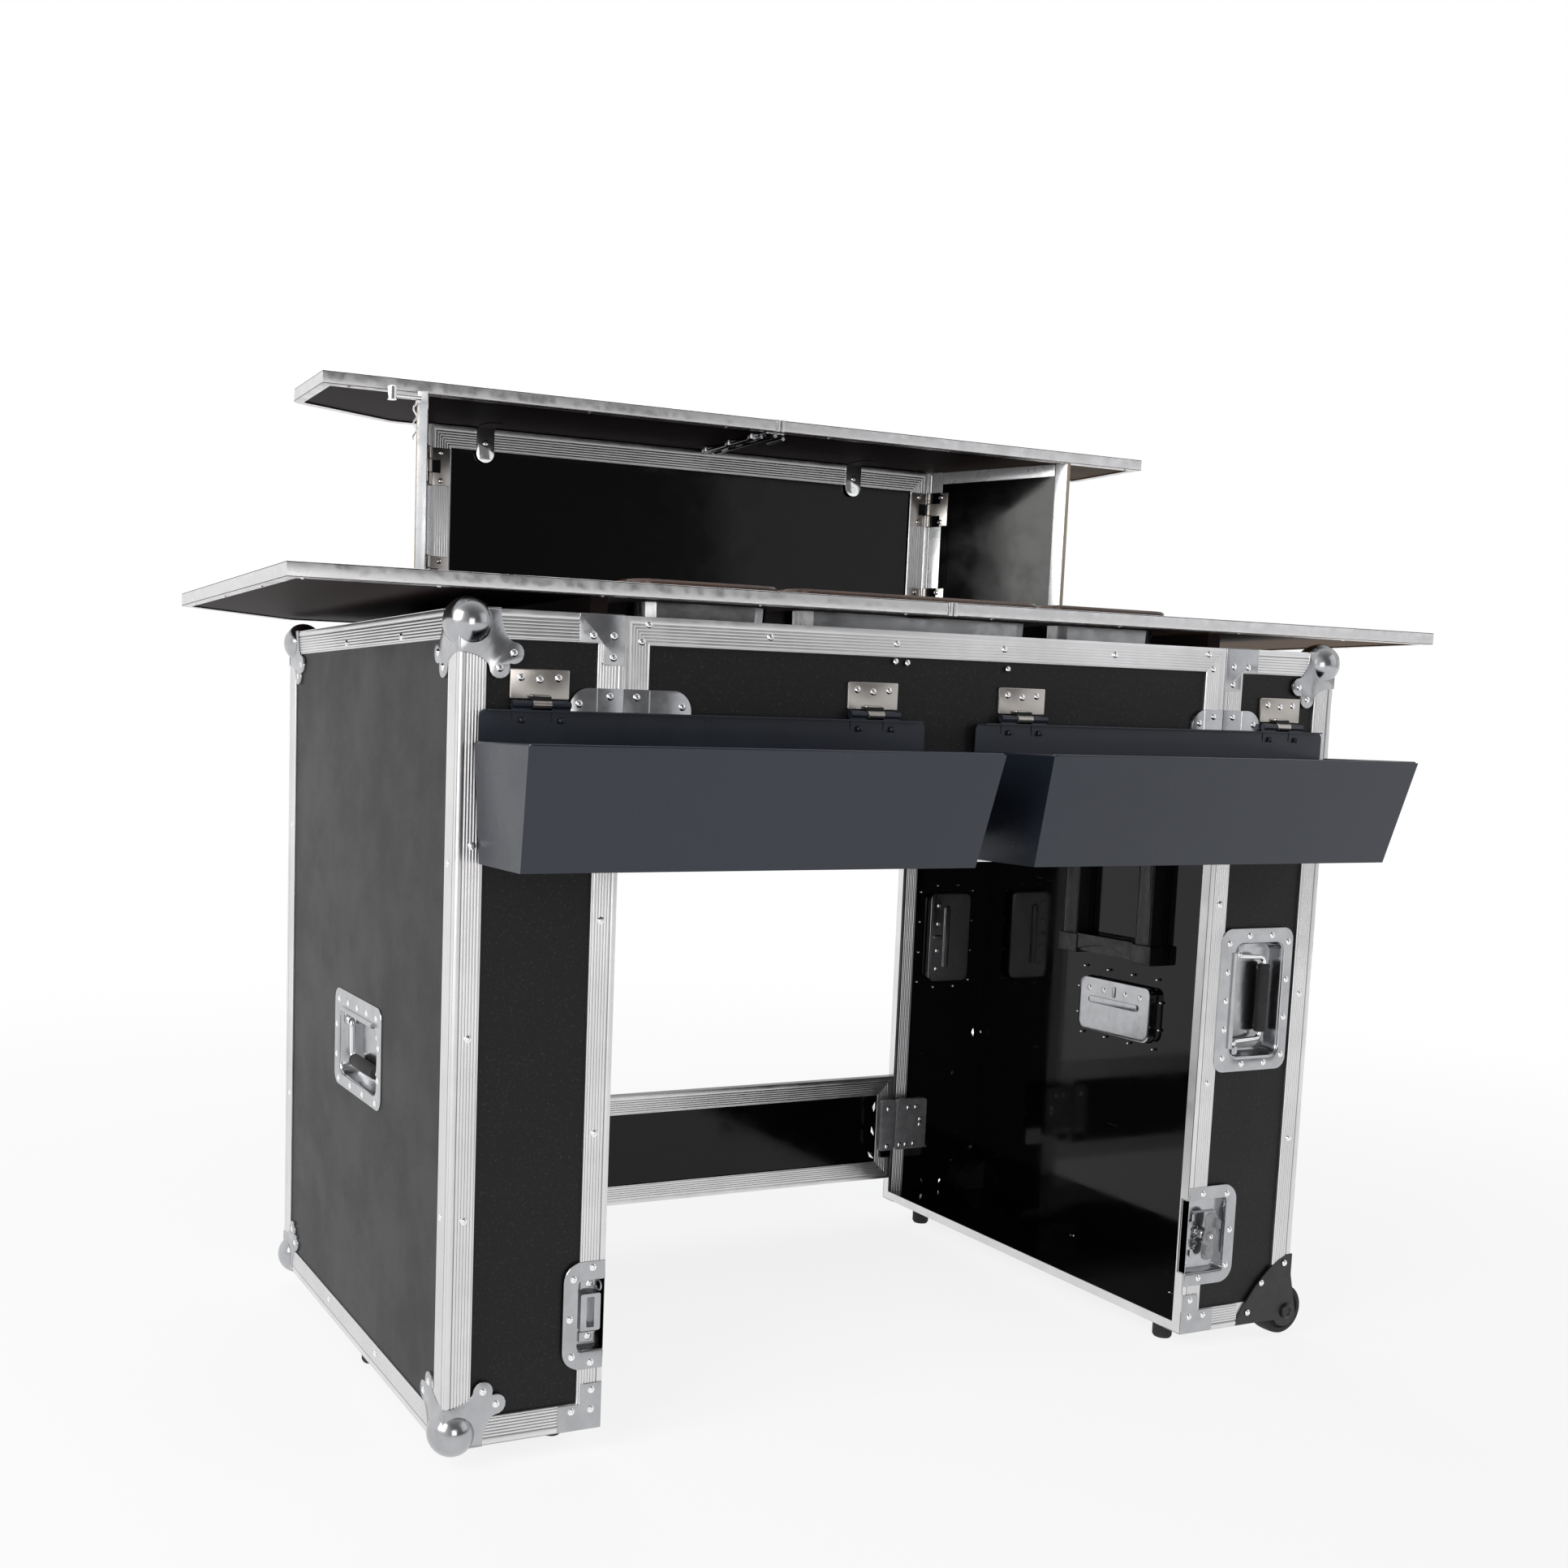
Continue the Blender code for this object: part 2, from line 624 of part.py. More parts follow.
def back_latch(right, frame_piece):
    """Latch dish of the same size in the back of the right half, where the kick board joins it."""
    frame = joint_map(1, 1)
    at = (INNER, BACK, BASE + BACK_LATCH_Z)
    cup = (LATCH_CUP_W, LATCH_CUP_H)
    half_dish("right_back_latch", frame, at, (LATCH_W, LATCH_H), cup)
    half_holes("back_latch_hole", frame, at, cup, right["back_panel"], frame_piece)


def corner_wheel(label, deep, panels, frame_piece):
    """Wheel in a housing let into a lower corner of the right half; it turns on a fixed axle along Y."""
    frame = plane("y", deep)
    face = FRONT if deep < 0 else BACK
    at = (SIDE, face, WHEEL_R)
    arch = WHEEL_R + ARCH_PLAY
    depth = WHEEL_W + 2 * ARCH_PLAY + HOUSING_WALL
    room = turned(f"room_{label}", ((arch + HOUSING_WALL + GAP, -depth - GAP), (arch + HOUSING_WALL + GAP, FAR)),
                  frame, at, 32, "zinc")
    for piece in (*(panels[key] for key in ("side_panel", "bottom_panel", f"{'front' if deep < 0 else 'back'}_panel")),
                  frame_piece):
        cut(piece, room)
    shell = turned(f"right_wheel_housing_{label}", ((arch + HOUSING_WALL, -depth), (arch + HOUSING_WALL, 0.0)),
                   frame, at, 32, "black_plastic")
    cut(shell, turned(f"arch_{label}", ((arch, -depth + HOUSING_WALL), (arch, FAR)), frame, at, 32, "zinc"))
    outside = box(f"outside_{label}", (SIDE + GAP, -2, -1), (SIDE + 1, 2, 1))
    below = box(f"below_{label}", (-1, -2, -1), (SIDE + 1, 2, BASE))
    cut(shell, outside, below)
    low = BASE - WHEEL_R
    outline = [(-HOUSING_LEG, low), (-0.050, low)]
    for k in range(9):
        turn = math.radians(-150 + 130 * k / 8)
        outline.append((0.021 * math.cos(turn) - 0.002, 0.021 * math.sin(turn)))
    outline += [(0.004, 0.050), (0.004, low + HOUSING_LEG), (-0.006, low + HOUSING_LEG)]
    for k in range(1, 6):
        t = k / 6
        outline.append((-0.006 - (HOUSING_LEG - 0.006) * t,
                        low + HOUSING_LEG - (HOUSING_LEG - 0.008) * (0.35 * t + 0.65 * t * t)))
    outline.append((-HOUSING_LEG, low + 0.008))
    plate = slab(f"wheel_plate_{label}", outline, frame, at, GAP, GAP + 0.0022, "black_plastic")
    collar = turned(f"wheel_collar_{label}", ((0.011, -ARCH_PLAY + 0.0012), (0.011, 0.0035)), frame, at, 20, "zinc")
    axle = turned(f"wheel_axle_{label}", ((AXLE_R, -depth + HOUSING_WALL / 2), (AXLE_R, 0.0055)), frame, at, 16, "zinc")
    fuse(shell, plate, collar, axle)
    cut(shell, box(f"below_plate_{label}", (-1, -2, -1), (SIDE + 1, 2, 0.004)))
    tread = [(AXLE_R + BORE_PLAY, -ARCH_PLAY - WHEEL_W), (WHEEL_R * 0.45, -ARCH_PLAY - WHEEL_W),
             (WHEEL_R * 0.55, -ARCH_PLAY - WHEEL_W + 0.003), (WHEEL_R * 0.80, -ARCH_PLAY - WHEEL_W + 0.003),
             (WHEEL_R * 0.90, -ARCH_PLAY - WHEEL_W), (WHEEL_R, -ARCH_PLAY - WHEEL_W + 0.004)]
    mirrored = [(r, -2 * ARCH_PLAY - WHEEL_W - out) for r, out in reversed(tread)]
    wheel = ring_body(f"right_wheel_{label}", tread + mirrored, frame, at, 28, "rubber")
    move_origin(wheel, at)
    smooth(wheel)


def ring_body(name, profile, frame, at, steps, finish):
    """Closed ring of revolution: the profile goes round the section and back to its start."""
    bm = bmesh.new()
    rings = []
    for radius, out in profile:
        rings.append([bm.verts.new(frame(a, b, out, at)) for a, b in circle(radius, steps, -math.pi / 2)])
    for a, b in zip(rings, rings[1:] + rings[:1]):
        for k in range(steps):
            n = (k + 1) % steps
            bm.faces.new((a[k], a[n], b[n], b[k]))
    return put(name, bm, finish)


def trolley(right):
    """Telescopic trolley handle: two sleeves with a foot bracket, and the sliding rods with their grip."""
    x_wall = SIDE - SHELL - PLY - GAP
    x_mid = x_wall - SLEEVE_T / 2
    y_mid = FRONT + TROLLEY_Y
    z_low = BASE + TROLLEY_FOOT_Z
    z_high = TOP - SHELL - PLY - GAP
    across = SLEEVE_T - GAP
    sleeves = []
    for end in (-1, 1):
        y = y_mid + end * TROLLEY_SPAN / 2
        sleeve = box(f"sleeve_{end}", (x_mid - across / 2, y - SLEEVE_W / 2, z_low + 0.012),
                     (x_mid + across / 2, y + SLEEVE_W / 2, z_high), "black_plastic")
        sleeves.append(sleeve)
    y_far = TROLLEY_SPAN / 2 + SLEEVE_W / 2 + 0.004
    body = box("right_trolley_sleeves", (x_mid - across / 2, y_mid - y_far + 0.030, z_low + 0.004),
               (x_mid + across / 2 - 0.002, y_mid + y_far - 0.030, z_low + 0.030), "black_plastic")
    fuse(body, *sleeves)
    for end in (-1, 1):
        y = y_mid + end * TROLLEY_SPAN / 2
        shoe = box(f"shoe_{end}", (x_mid - across / 2 - 0.003, y - SLEEVE_W / 2 - 0.004, z_low),
                   (x_mid + across / 2, y + SLEEVE_W / 2 + 0.004, z_low + 0.028), "black_plastic")
        fuse(body, shoe)
    bar_top = TOP + 0.0030
    grip = box("right_trolley_handle", (x_mid - 0.0085, y_mid - TROLLEY_SPAN / 2 - 0.014, bar_top - GRIP_H),
               (x_mid + 0.0085, y_mid + TROLLEY_SPAN / 2 + 0.014, bar_top), "black_plastic")
    for end in (-1, 1):
        at = (x_mid, y_mid + end * TROLLEY_SPAN / 2, 0.0)
        play = TROLLEY_ROD_R + BORE_PLAY
        bore = turned(f"bore_{end}", ((play, z_low + 0.034), (play, z_high + FAR)),
                      plane("z"), at, 16, "zinc")
        cut(body, bore)
        rod = turned(f"rod_{end}", ((TROLLEY_ROD_R, z_low + 0.040), (TROLLEY_ROD_R, bar_top - GRIP_H / 2)),
                     plane("z"), at, 16, "zinc")
        fuse(grip, rod)
    move_origin(grip, (x_mid, y_mid, bar_top))
    play = 0.0020
    slot = box("trolley_slot", (x_mid - 0.0085 - play, y_mid - TROLLEY_SPAN / 2 - 0.014 - play, z_high - FAR / 2),
               (x_mid + 0.0085 + play, y_mid + TROLLEY_SPAN / 2 + 0.014 + play, TOP + FAR))
    cut(right["top_panel"], slot)
    return slot


def framed_board(name, x, y, z, finish="aluminium"):
    """Channel frame round a board: 30 mm wide strips on both faces and a groove that takes the ply."""
    ring = box(name, (x[0], y[0], z[0]), (x[1], y[1], z[1]), finish)
    groove = box(f"{name}_groove", (x[0] + SKIN, y[0] + SKIN, z[0] + SKIN), (x[1] - SKIN, y[1] - SKIN, z[1] - SKIN))
    window = box(f"{name}_window", (x[0] + LEG, y[0] - FAR, z[0] + LEG), (x[1] - LEG, y[1] + FAR, z[1] - LEG))
    return cut(ring, groove, window)


def bottom_edge(frame_piece):
    """Separate extrusion along the foot of the right outer wall, between the two wheel housings."""
    end = WHEEL_W + 2 * ARCH_PLAY + HOUSING_WALL + 2 * GAP
    y = (FRONT + end, BACK - end)
    piece = box("right_bottom_edge", (SIDE - LEG, y[0], BASE), (SIDE, y[1], BASE + LEG), "aluminium")
    cut(piece, box("edge_inside", (-1, -2, BASE + SKIN), (SIDE - SKIN, 2, 1)))
    cut(frame_piece, box("edge_room", (SIDE - LEG - GAP, FRONT + LEG, BASE - FAR),
                         (SIDE + FAR, BACK - LEG, BASE + LEG + GAP)))


def latch_half(name, side, toward, z, y_out, width):
    """Visible half of a joining latch on a face: a round-ended plate that stops at the joint."""
    at = (side * INNER, FRONT if y_out < 0 else BACK, z)
    outline = half_outline(width, JOIN_LATCH_H, LATCH_CORNER)
    return slab(name, outline, joint_map(side * toward, y_out), at, -SKIN / 2, PLATE)


def apron():
    """Framed front board between the halves, with the fixed leaves of the two inner tray hinges."""
    x = INNER - GAP
    y = (FRONT, FRONT + LIP)
    z = (TOP - APRON_H, TOP)
    rim = framed_board("apron_frame", (-x, x), y, z)
    inset = SKIN + GAP
    board = box("apron_panel", (-x + inset, y[0] + inset, z[0] + inset), (x - inset, y[0] + inset + PLY, z[1] - inset))
    for side in (-1, 1):
        fuse(board, *fixed_leaf(f"apron_leaf_{side}", side * HINGE_X[0], 0.0006))
        wide = LATCH_W if side < 0 else KEEPER_W
        fuse(rim, latch_half(f"apron_latch_{side}", side, -1, BASE + JOIN_LATCH_Z, -1, wide))
    return rim


def kick_board():
    """Framed board low between the backs of the halves, with the latch dishes that join it to them."""
    x = INNER - GAP
    y0 = BACK - LIP
    z0 = BASE + KICK_Z
    z1 = z0 + KICK_H
    board = box("kick_board", (-x, y0, z0), (x, BACK, z1))
    for tag, lo, hi in (("inside", y0 - FAR, y0 + SKIN), ("outside", BACK - SKIN, BACK + FAR)):
        cut(board, box(f"kick_sunk_{tag}", (-x + LEG, lo, z0 + LEG), (x - LEG, hi, z1 - LEG)))
    for side in (-1, 1):
        rooms = [(0.022, LATCH_CUP_H, 0.004, -0.004), (0.020, LATCH_CUP_H - 0.004, 0.004, 0.004)]
        cup = layered(f"kick_cup_{side}", rooms,
                      plane("y", -1), (side * (x - 0.0115), y0, BASE + BACK_LATCH_Z), "zinc")
        fuse(board, cup)
    return board


def fixed_leaf(name, x, seat):
    """Pieces of a hinge leaf on the front: plate, web and the bored middle knuckle."""
    face = FRONT + SHELL
    pin_y = FRONT - TRAY_BACK_GAP - TRAY_SHEET / 2
    pin_z = BASE + TRAY_TOP_Z
    half = HINGE_LEAF_W / 2
    plate = box(f"{name}_plate", (x - half, face - 0.0025, pin_z + 0.006),
                (x + half, face + seat, pin_z + 0.006 + HINGE_LEAF_H), "zinc")
    third = HINGE_LEAF_W / 6
    web = box(f"{name}_web", (x - third, pin_y - 0.001, pin_z + HINGE_PIN_R + 0.0008),
              (x + third, face - 0.0005, pin_z + 0.0085), "zinc")
    frame = plane("x")
    barrel = turned(f"{name}_barrel", ((KNUCKLE_R, -third), (KNUCKLE_R, third)), frame, (x, pin_y, pin_z), 16, "zinc")
    cut(barrel, turned(f"{name}_bore", ((HINGE_PIN_R + BORE_PLAY, -FAR), (HINGE_PIN_R + BORE_PLAY, FAR)), frame,
                       (x, pin_y, pin_z), 16, "zinc"))
    return plate, web, barrel


def tray(label, side):
    """Bottle tray folded from sheet: sloping front, tapered ends, a taller back plate with its hinge knuckles."""
    back = FRONT - TRAY_BACK_GAP
    x0, x1 = sorted((side * TRAY_INNER_X, side * TRAY_OUTER_X))
    base = BASE + TRAY_BASE_Z
    rim = BASE + TRAY_LIP_Z
    t = TRAY_SHEET

    def rect(inset, z, lower):
        lean = TRAY_TAPER * lower
        front = FRONT - TRAY_OUT + TRAY_SLOPE * lower
        return [(x0 + lean + inset, front + inset, z), (x1 - lean - inset, front + inset, z),
                (x1 - lean - inset, back - inset, z), (x0 + lean + inset, back - inset, z)]

    tub = loft(f"{label}_tray", [rect(0, base, 1), rect(0, rim, 0), rect(t, rim, 0), rect(t, base + t, 1)], "tray_coat")
    top = BASE + TRAY_TOP_Z - KNUCKLE_R - 0.0015
    corner = 0.008
    outline = [(x0 + 0.004, rim - 0.010), (x1 - 0.004, rim - 0.010)]
    for k in range(5):
        turn = math.radians(90 * k / 4)
        outline.append((x1 - 0.004 - corner + corner * math.cos(turn), top - corner + corner * math.sin(turn)))
    for k in range(5):
        turn = math.radians(90 + 90 * k / 4)
        outline.append((x0 + 0.004 + corner + corner * math.cos(turn), top - corner + corner * math.sin(turn)))
    plate = slab(f"{label}_tray_back", outline, plane("y"), (0, back, 0), -t, 0.0, "tray_coat")
    fold = box(f"{label}_tray_fold", (x0 + 0.012, back - 0.010, top - t), (x1 - 0.012, back - t / 2, top), "tray_coat")
    fuse(tub, plate, fold)
    pin = (back - t / 2, BASE + TRAY_TOP_Z)
    frame = plane("x")
    third = HINGE_LEAF_W / 6
    for n, hinge in enumerate(HINGE_X):
        x = side * hinge
        rod = turned(f"{label}_pin_{n}", ((HINGE_PIN_R, -3 * third + 0.001), (HINGE_PIN_R, 3 * third - 0.001)), frame,
                     (x, *pin), 16, "zinc")
        fuse(tub, rod)
        for end in (-1, 1):
            barrel = turned(f"{label}_knuckle_{n}_{end}", ((KNUCKLE_R, -third + GAP), (KNUCKLE_R, third - GAP)), frame,
                            (x + end * 2 * third, *pin), 16, "zinc")
            tail = box(f"{label}_tail_{n}_{end}", (x + end * 2 * third - third + GAP, pin[0] - t, top - 0.012),
                       (x + end * 2 * third + third - GAP, pin[0] + t / 2, BASE + TRAY_TOP_Z - HINGE_PIN_R / 2), "zinc")
            fuse(tub, barrel, tail)
    move_origin(tub, ((x0 + x1) / 2, *pin))


def clipped_half(side, x_out, depth, front, clip):
    """Outline of half a board: straight seam, square front corner, clipped rear corner with soft vertices."""
    clip_x, clip_y = clip
    x_in = GAP / 2
    back = front + depth
    corner = [(x_out, back - clip_y), (x_out - clip_x, back)]
    points = [(x_in, front), (x_out, front)]
    for k, vertex in enumerate(corner):
        before = Vector((x_out, front)) if k == 0 else Vector(corner[0])
        after = Vector(corner[1]) if k == 0 else Vector((x_in, back))
        soft = 0.012
        here = Vector(vertex)
        a = here + soft * (before - here).normalized()
        b = here + soft * (after - here).normalized()
        for n in range(4):
            t = n / 3
            points.append(tuple((1 - t) ** 2 * a + 2 * t * (1 - t) * here + t * t * b))
    points.append((x_in, back))
    return [(side * x, y) for x, y in points]


def inset_outline(points, amount):
    """Convex outline moved inwards by an even amount."""
    count = len(points)
    area = sum(points[k][0] * points[(k + 1) % count][1] - points[(k + 1) % count][0] * points[k][1]
               for k in range(count))
    turn = 1.0 if area > 0 else -1.0
    moved = []
    for k in range(count):
        here = Vector(points[k])
        a = (here - Vector(points[k - 1])).normalized()
        b = (Vector(points[(k + 1) % count]) - here).normalized()
        na = turn * Vector((-a.y, a.x))
        nb = turn * Vector((-b.y, b.x))
        mid = (na + nb).normalized()
        moved.append(tuple(here + amount / max(0.2, mid.dot(na)) * mid))
    return moved


def board_half(name, side, x_out, depth, front, clip, z, finish="board"):
    """Half of a board with a metal edge: the edge turns under, so the underside is sunk inside it."""
    outline = clipped_half(side, x_out, depth, front, clip)
    half = slab(name, outline, plane("z"), (0, 0, z), 0.0, BOARD_T, finish)
    sunk = slab(f"{name}_sunk", inset_outline(outline, EDGE_TRIM), plane("z"), (0, 0, z), -FAR, EDGE_LIP, finish)
    return cut(half, sunk)


def pan_places():
    """Name, low x and high x of each drop-in pan."""
    a, b = SIDE_PAN_X
    return (("left", -b, -a), ("middle", -MID_PAN_X, MID_PAN_X), ("right", a, b))


def counter():
    """Two counter halves, three drop-in pans whose rims rest on them, and a lid on each pan."""
    y0 = FRONT + PAN_Y
    mid_y = y0 + PAN_LEN / 2
    z_top = COUNTER_Z + BOARD_T
    frame = plane("z")
    halves = []
    clip = (COUNTER_CLIP_X, COUNTER_CLIP_Y)
    for label, side in (("left", -1), ("right", 1)):
        half = board_half(f"counter_{label}", side, COUNTER_HALF, COUNTER_D, FRONT, clip, COUNTER_Z)
        near, far = sorted(side * (INNER + BEARER_IN + reach) for reach in (0.0, BEARER_W))
        fuse(half, box(f"bearer_{label}", (near, FRONT + LEG + BEARER_IN, TOP + GAP),
                       (far, BACK - LEG - BEARER_IN, COUNTER_Z + EDGE_LIP + GAP), "board"))
        halves.append(half)
    for label, lo, hi in pan_places():
        width = hi - lo
        at = ((lo + hi) / 2, mid_y, z_top)
        hole = layered(f"pan_hole_{label}", [(width, PAN_LEN, PAN_CORNER, -FAR), (width, PAN_LEN, PAN_CORNER, FAR)],
                       frame, at, "board")
        for half, side in zip(halves, (-1, 1)):
            if side * hi > 0 or side * lo > 0:
                cut(half, hole)
        w = width - 2 * GAP - 0.001
        length = PAN_LEN - 2 * GAP - 0.001
        draft = 0.008
        layers = [
            (w - draft, length - draft, PAN_CORNER, -PAN_DEPTH),
            (w, length, PAN_CORNER, GAP),
            (w + 2 * PAN_RIM, length + 2 * PAN_RIM, PAN_CORNER, GAP),
            (w + 2 * PAN_RIM, length + 2 * PAN_RIM, PAN_CORNER, GAP + PAN_WALL),
            (w - 2 * PAN_WALL, length - 2 * PAN_WALL, PAN_CORNER - PAN_WALL, GAP + PAN_WALL),
            (w - draft - 2 * PAN_WALL, length - draft - 2 * PAN_WALL, PAN_CORNER - PAN_WALL, -PAN_DEPTH + PAN_WALL),
        ]
        pan = layered(f"pan_{label}", layers, frame, at, "steel")
        smooth(pan)
        seat = 2 * GAP + PAN_WALL
        plug = 0.0030
        layers = [
            (w - 2 * PAN_WALL - 2 * plug, length - 2 * PAN_WALL - 2 * plug, PAN_CORNER - plug, seat - 0.007),
            (w - 2 * PAN_WALL - 2 * plug, length - 2 * PAN_WALL - 2 * plug, PAN_CORNER - plug, seat),
            (w + 2 * PAN_RIM, length + 2 * PAN_RIM, PAN_CORNER, seat),
            (w + 2 * PAN_RIM, length + 2 * PAN_RIM, PAN_CORNER, seat + LID_T * 0.5),
            (w + 2 * PAN_RIM - LID_T, length + 2 * PAN_RIM - LID_T, PAN_CORNER - LID_T / 2, seat + LID_T),
        ]
        layered(f"lid_{label}", layers, frame, at, "board", origin=at)


def sunk_faces(piece, name, length, height, transform):
    """Sink both faces of a framed riser board inside its 30 mm frame."""
    for tag, lo, hi in (("in", -FAR, PANEL_SUNK), ("out", BOARD_CORE - PANEL_SUNK, FAR)):
        bm = bmesh.new()
        lo_p = Vector((LEG, lo, LEG))
        hi_p = Vector((length - LEG, hi, height - LEG))
        size = hi_p - lo_p
        bmesh.ops.create_cube(bm, size=1.0,
                              matrix=transform @ Matrix.Translation((lo_p + hi_p) / 2) @ Matrix.Diagonal((*size, 1.0)))
        cut(piece, put(f"{name}_{tag}", bm, "laminate"))


def riser_board(name, length, transform):
    """Framed board in its own axes: length along x, thickness along y, height along z."""
    bm = bmesh.new()
    size = Vector((length, BOARD_CORE, RISER_H))
    bmesh.ops.create_cube(bm, size=1.0, matrix=transform @ Matrix.Translation(size / 2) @ Matrix.Diagonal((*size, 1.0)))
    piece = put(name, bm, "laminate")
    sunk_faces(piece, f"{name}_sunk", length, RISER_H, transform)
    return piece


def riser():
    """Middle board and two wings of the riser; each wing turns on two butt hinges at the inner corner."""
    axis_y = FRONT + RISER_Y - HINGE_OFF
    length = RISER_X[1] - RISER_X[0]
    middle = riser_board("riser_middle", length, Matrix.Translation((RISER_X[0], FRONT + RISER_Y, RISER_Z)))
    barrel_z = (RISER_Z + HINGE_AT[0], RISER_Z + RISER_H - HINGE_AT[1])
    for label, side, end, splay in (("left", -1, RISER_X[0], WING_SPLAY[0]), ("right", 1, RISER_X[1], WING_SPLAY[1])):
        axis_x = end + side * 0.002
        turn = Matrix.Rotation(math.radians(side * splay), 4, "Z")
        hang = Matrix.Translation((axis_x, axis_y, RISER_Z)) @ turn
        to_wing = hang @ Matrix.Rotation(-math.pi / 2, 4, "Z") @ Matrix.Translation((0.002, 0, 0))
        lift = Matrix.Translation((0, HINGE_OFF if side > 0 else -HINGE_OFF - BOARD_CORE, 0))
        wing = riser_board(f"riser_wing_{label}", WING_L, to_wing @ lift)
        for n, z in enumerate(barrel_z):
            at = (axis_x, axis_y, z)
            third = HINGE_LEN / 6
            ends = ((HINGE_BARREL_R, -third), (HINGE_BARREL_R, third))
            core = turned(f"barrel_{label}_{n}", ends, plane("z"), at, 14, "zinc")
            lo, hi = sorted((axis_x, axis_x - side * 0.016))
            leaf = box(f"leaf_mid_{label}_{n}", (lo, axis_y + 0.0005, z - third + 0.0002),
                       (hi, axis_y + HINGE_BARREL_R * 0.9, z + third - 0.0002), "zinc")
            lo, hi = sorted((axis_x - side * 0.016, axis_x - side * 0.005))
            pad = box(f"pad_mid_{label}_{n}", (lo, axis_y + 0.0030, z - HINGE_LEN / 2),
                      (hi, axis_y + HINGE_OFF + 0.0005, z + HINGE_LEN / 2), "zinc")
            play = HINGE_PIN_R * 0.8 + BORE_PLAY
            bore = turned(f"bore_{label}_{n}", ((play, -FAR), (play, FAR)), plane("z"), at, 14, "zinc")
            fuse(middle, pad, leaf, core)
            cut(middle, bore)
            pin = turned(f"wing_pin_{label}_{n}", ((HINGE_PIN_R * 0.8, -3 * third), (HINGE_PIN_R * 0.8, 3 * third)),
                         plane("z"), at, 14, "zinc")
            fuse(wing, pin)
            for end in (-1, 1):
                spot = (axis_x, axis_y, z + end * 2 * third)
                ends = ((HINGE_BARREL_R, -third + GAP), (HINGE_BARREL_R, third - GAP))
                outer = turned(f"wing_barrel_{label}_{n}_{end}", ends, plane("z"), spot, 14, "zinc")
                bm = bmesh.new()
                size = Vector((0.018, HINGE_BARREL_R * 0.9, 2 * third - 2 * GAP - 0.0002))
                middle_y = (HINGE_OFF + 0.0008 - size.y / 2) * (1 if side > 0 else -1)
                matrix = (hang @ Matrix.Rotation(-math.pi / 2, 4, "Z")
                          @ Matrix.Translation((0.009, middle_y, spot[2] - RISER_Z)) @ Matrix.Diagonal((*size, 1.0)))
                bmesh.ops.create_cube(bm, size=1.0, matrix=matrix)
                fuse(wing, put(f"wing_leaf_{label}_{n}_{end}", bm, "zinc"), outer)
        move_origin(wing, (axis_x, axis_y, RISER_Z))


def bracket(name, x):
    """L bracket under the bar top: its upright leg lies against the inner face of the riser."""
    wall = FRONT + RISER_Y - GAP
    flat = slab(f"{name}_flat", [(a, b) for a, b in round_rect(BRACKET_W, 0.044, 0.012, 5)], plane("z"),
                (x, wall - 0.022, BAR_Z), GAP, GAP + BRACKET_T, "zinc")
    outline = [(BRACKET_W / 2, 0.0), (-BRACKET_W / 2, 0.0)]
    radius = BRACKET_W / 2
    for k in range(9):
        turn = math.radians(180 + 180 * k / 8)
        outline.append((radius * math.cos(turn), -BRACKET_DROP + radius + radius * math.sin(turn)))
    leg = slab(f"{name}_leg", outline, plane("y", -1), (x, wall, BAR_Z + EDGE_LIP), 0.0, BRACKET_T, "zinc")
    return flat, leg


def bar_top():
    """Two bar top halves with their brackets and the fold hinge strips under the seam."""
    front = FRONT + BAR_Y
    for label, side, half_w in (("left", -1, BAR_HALF[0]), ("right", 1, BAR_HALF[1])):
        half = board_half(f"bar_top_{label}", side, half_w, BAR_D, front, (BAR_CLIP_X, BAR_CLIP_Y), BAR_Z)
        for n, x in enumerate(BRACKET_X):
            if x * side > 0:
                fuse(half, *bracket(f"bracket_{n}", x))
        length = BAR_D - 0.030
        strip_x = sorted((side * 0.0008, side * 0.0130))
        strip = box(f"fold_strip_{label}", (strip_x[0], front + 0.012, BAR_Z - 0.0012),
                    (strip_x[1], front + 0.012 + length - 0.020, BAR_Z + 0.0006), "zinc")
        fuse(half, strip)
        count = 8
        step = (length - 0.020) / count
        for k in range(count):
            if (k % 2 == 0) == (side > 0):
                y = front + 0.012 + (k + 0.5) * step
                knuckle = turned(f"fold_knuckle_{label}_{k}", ((0.0028, -step / 2 + GAP), (0.0028, step / 2 - GAP)),
                                 plane("y"), (side * 0.0012, y, BAR_Z - 0.0034), 10, "zinc")
                fuse(half, knuckle)


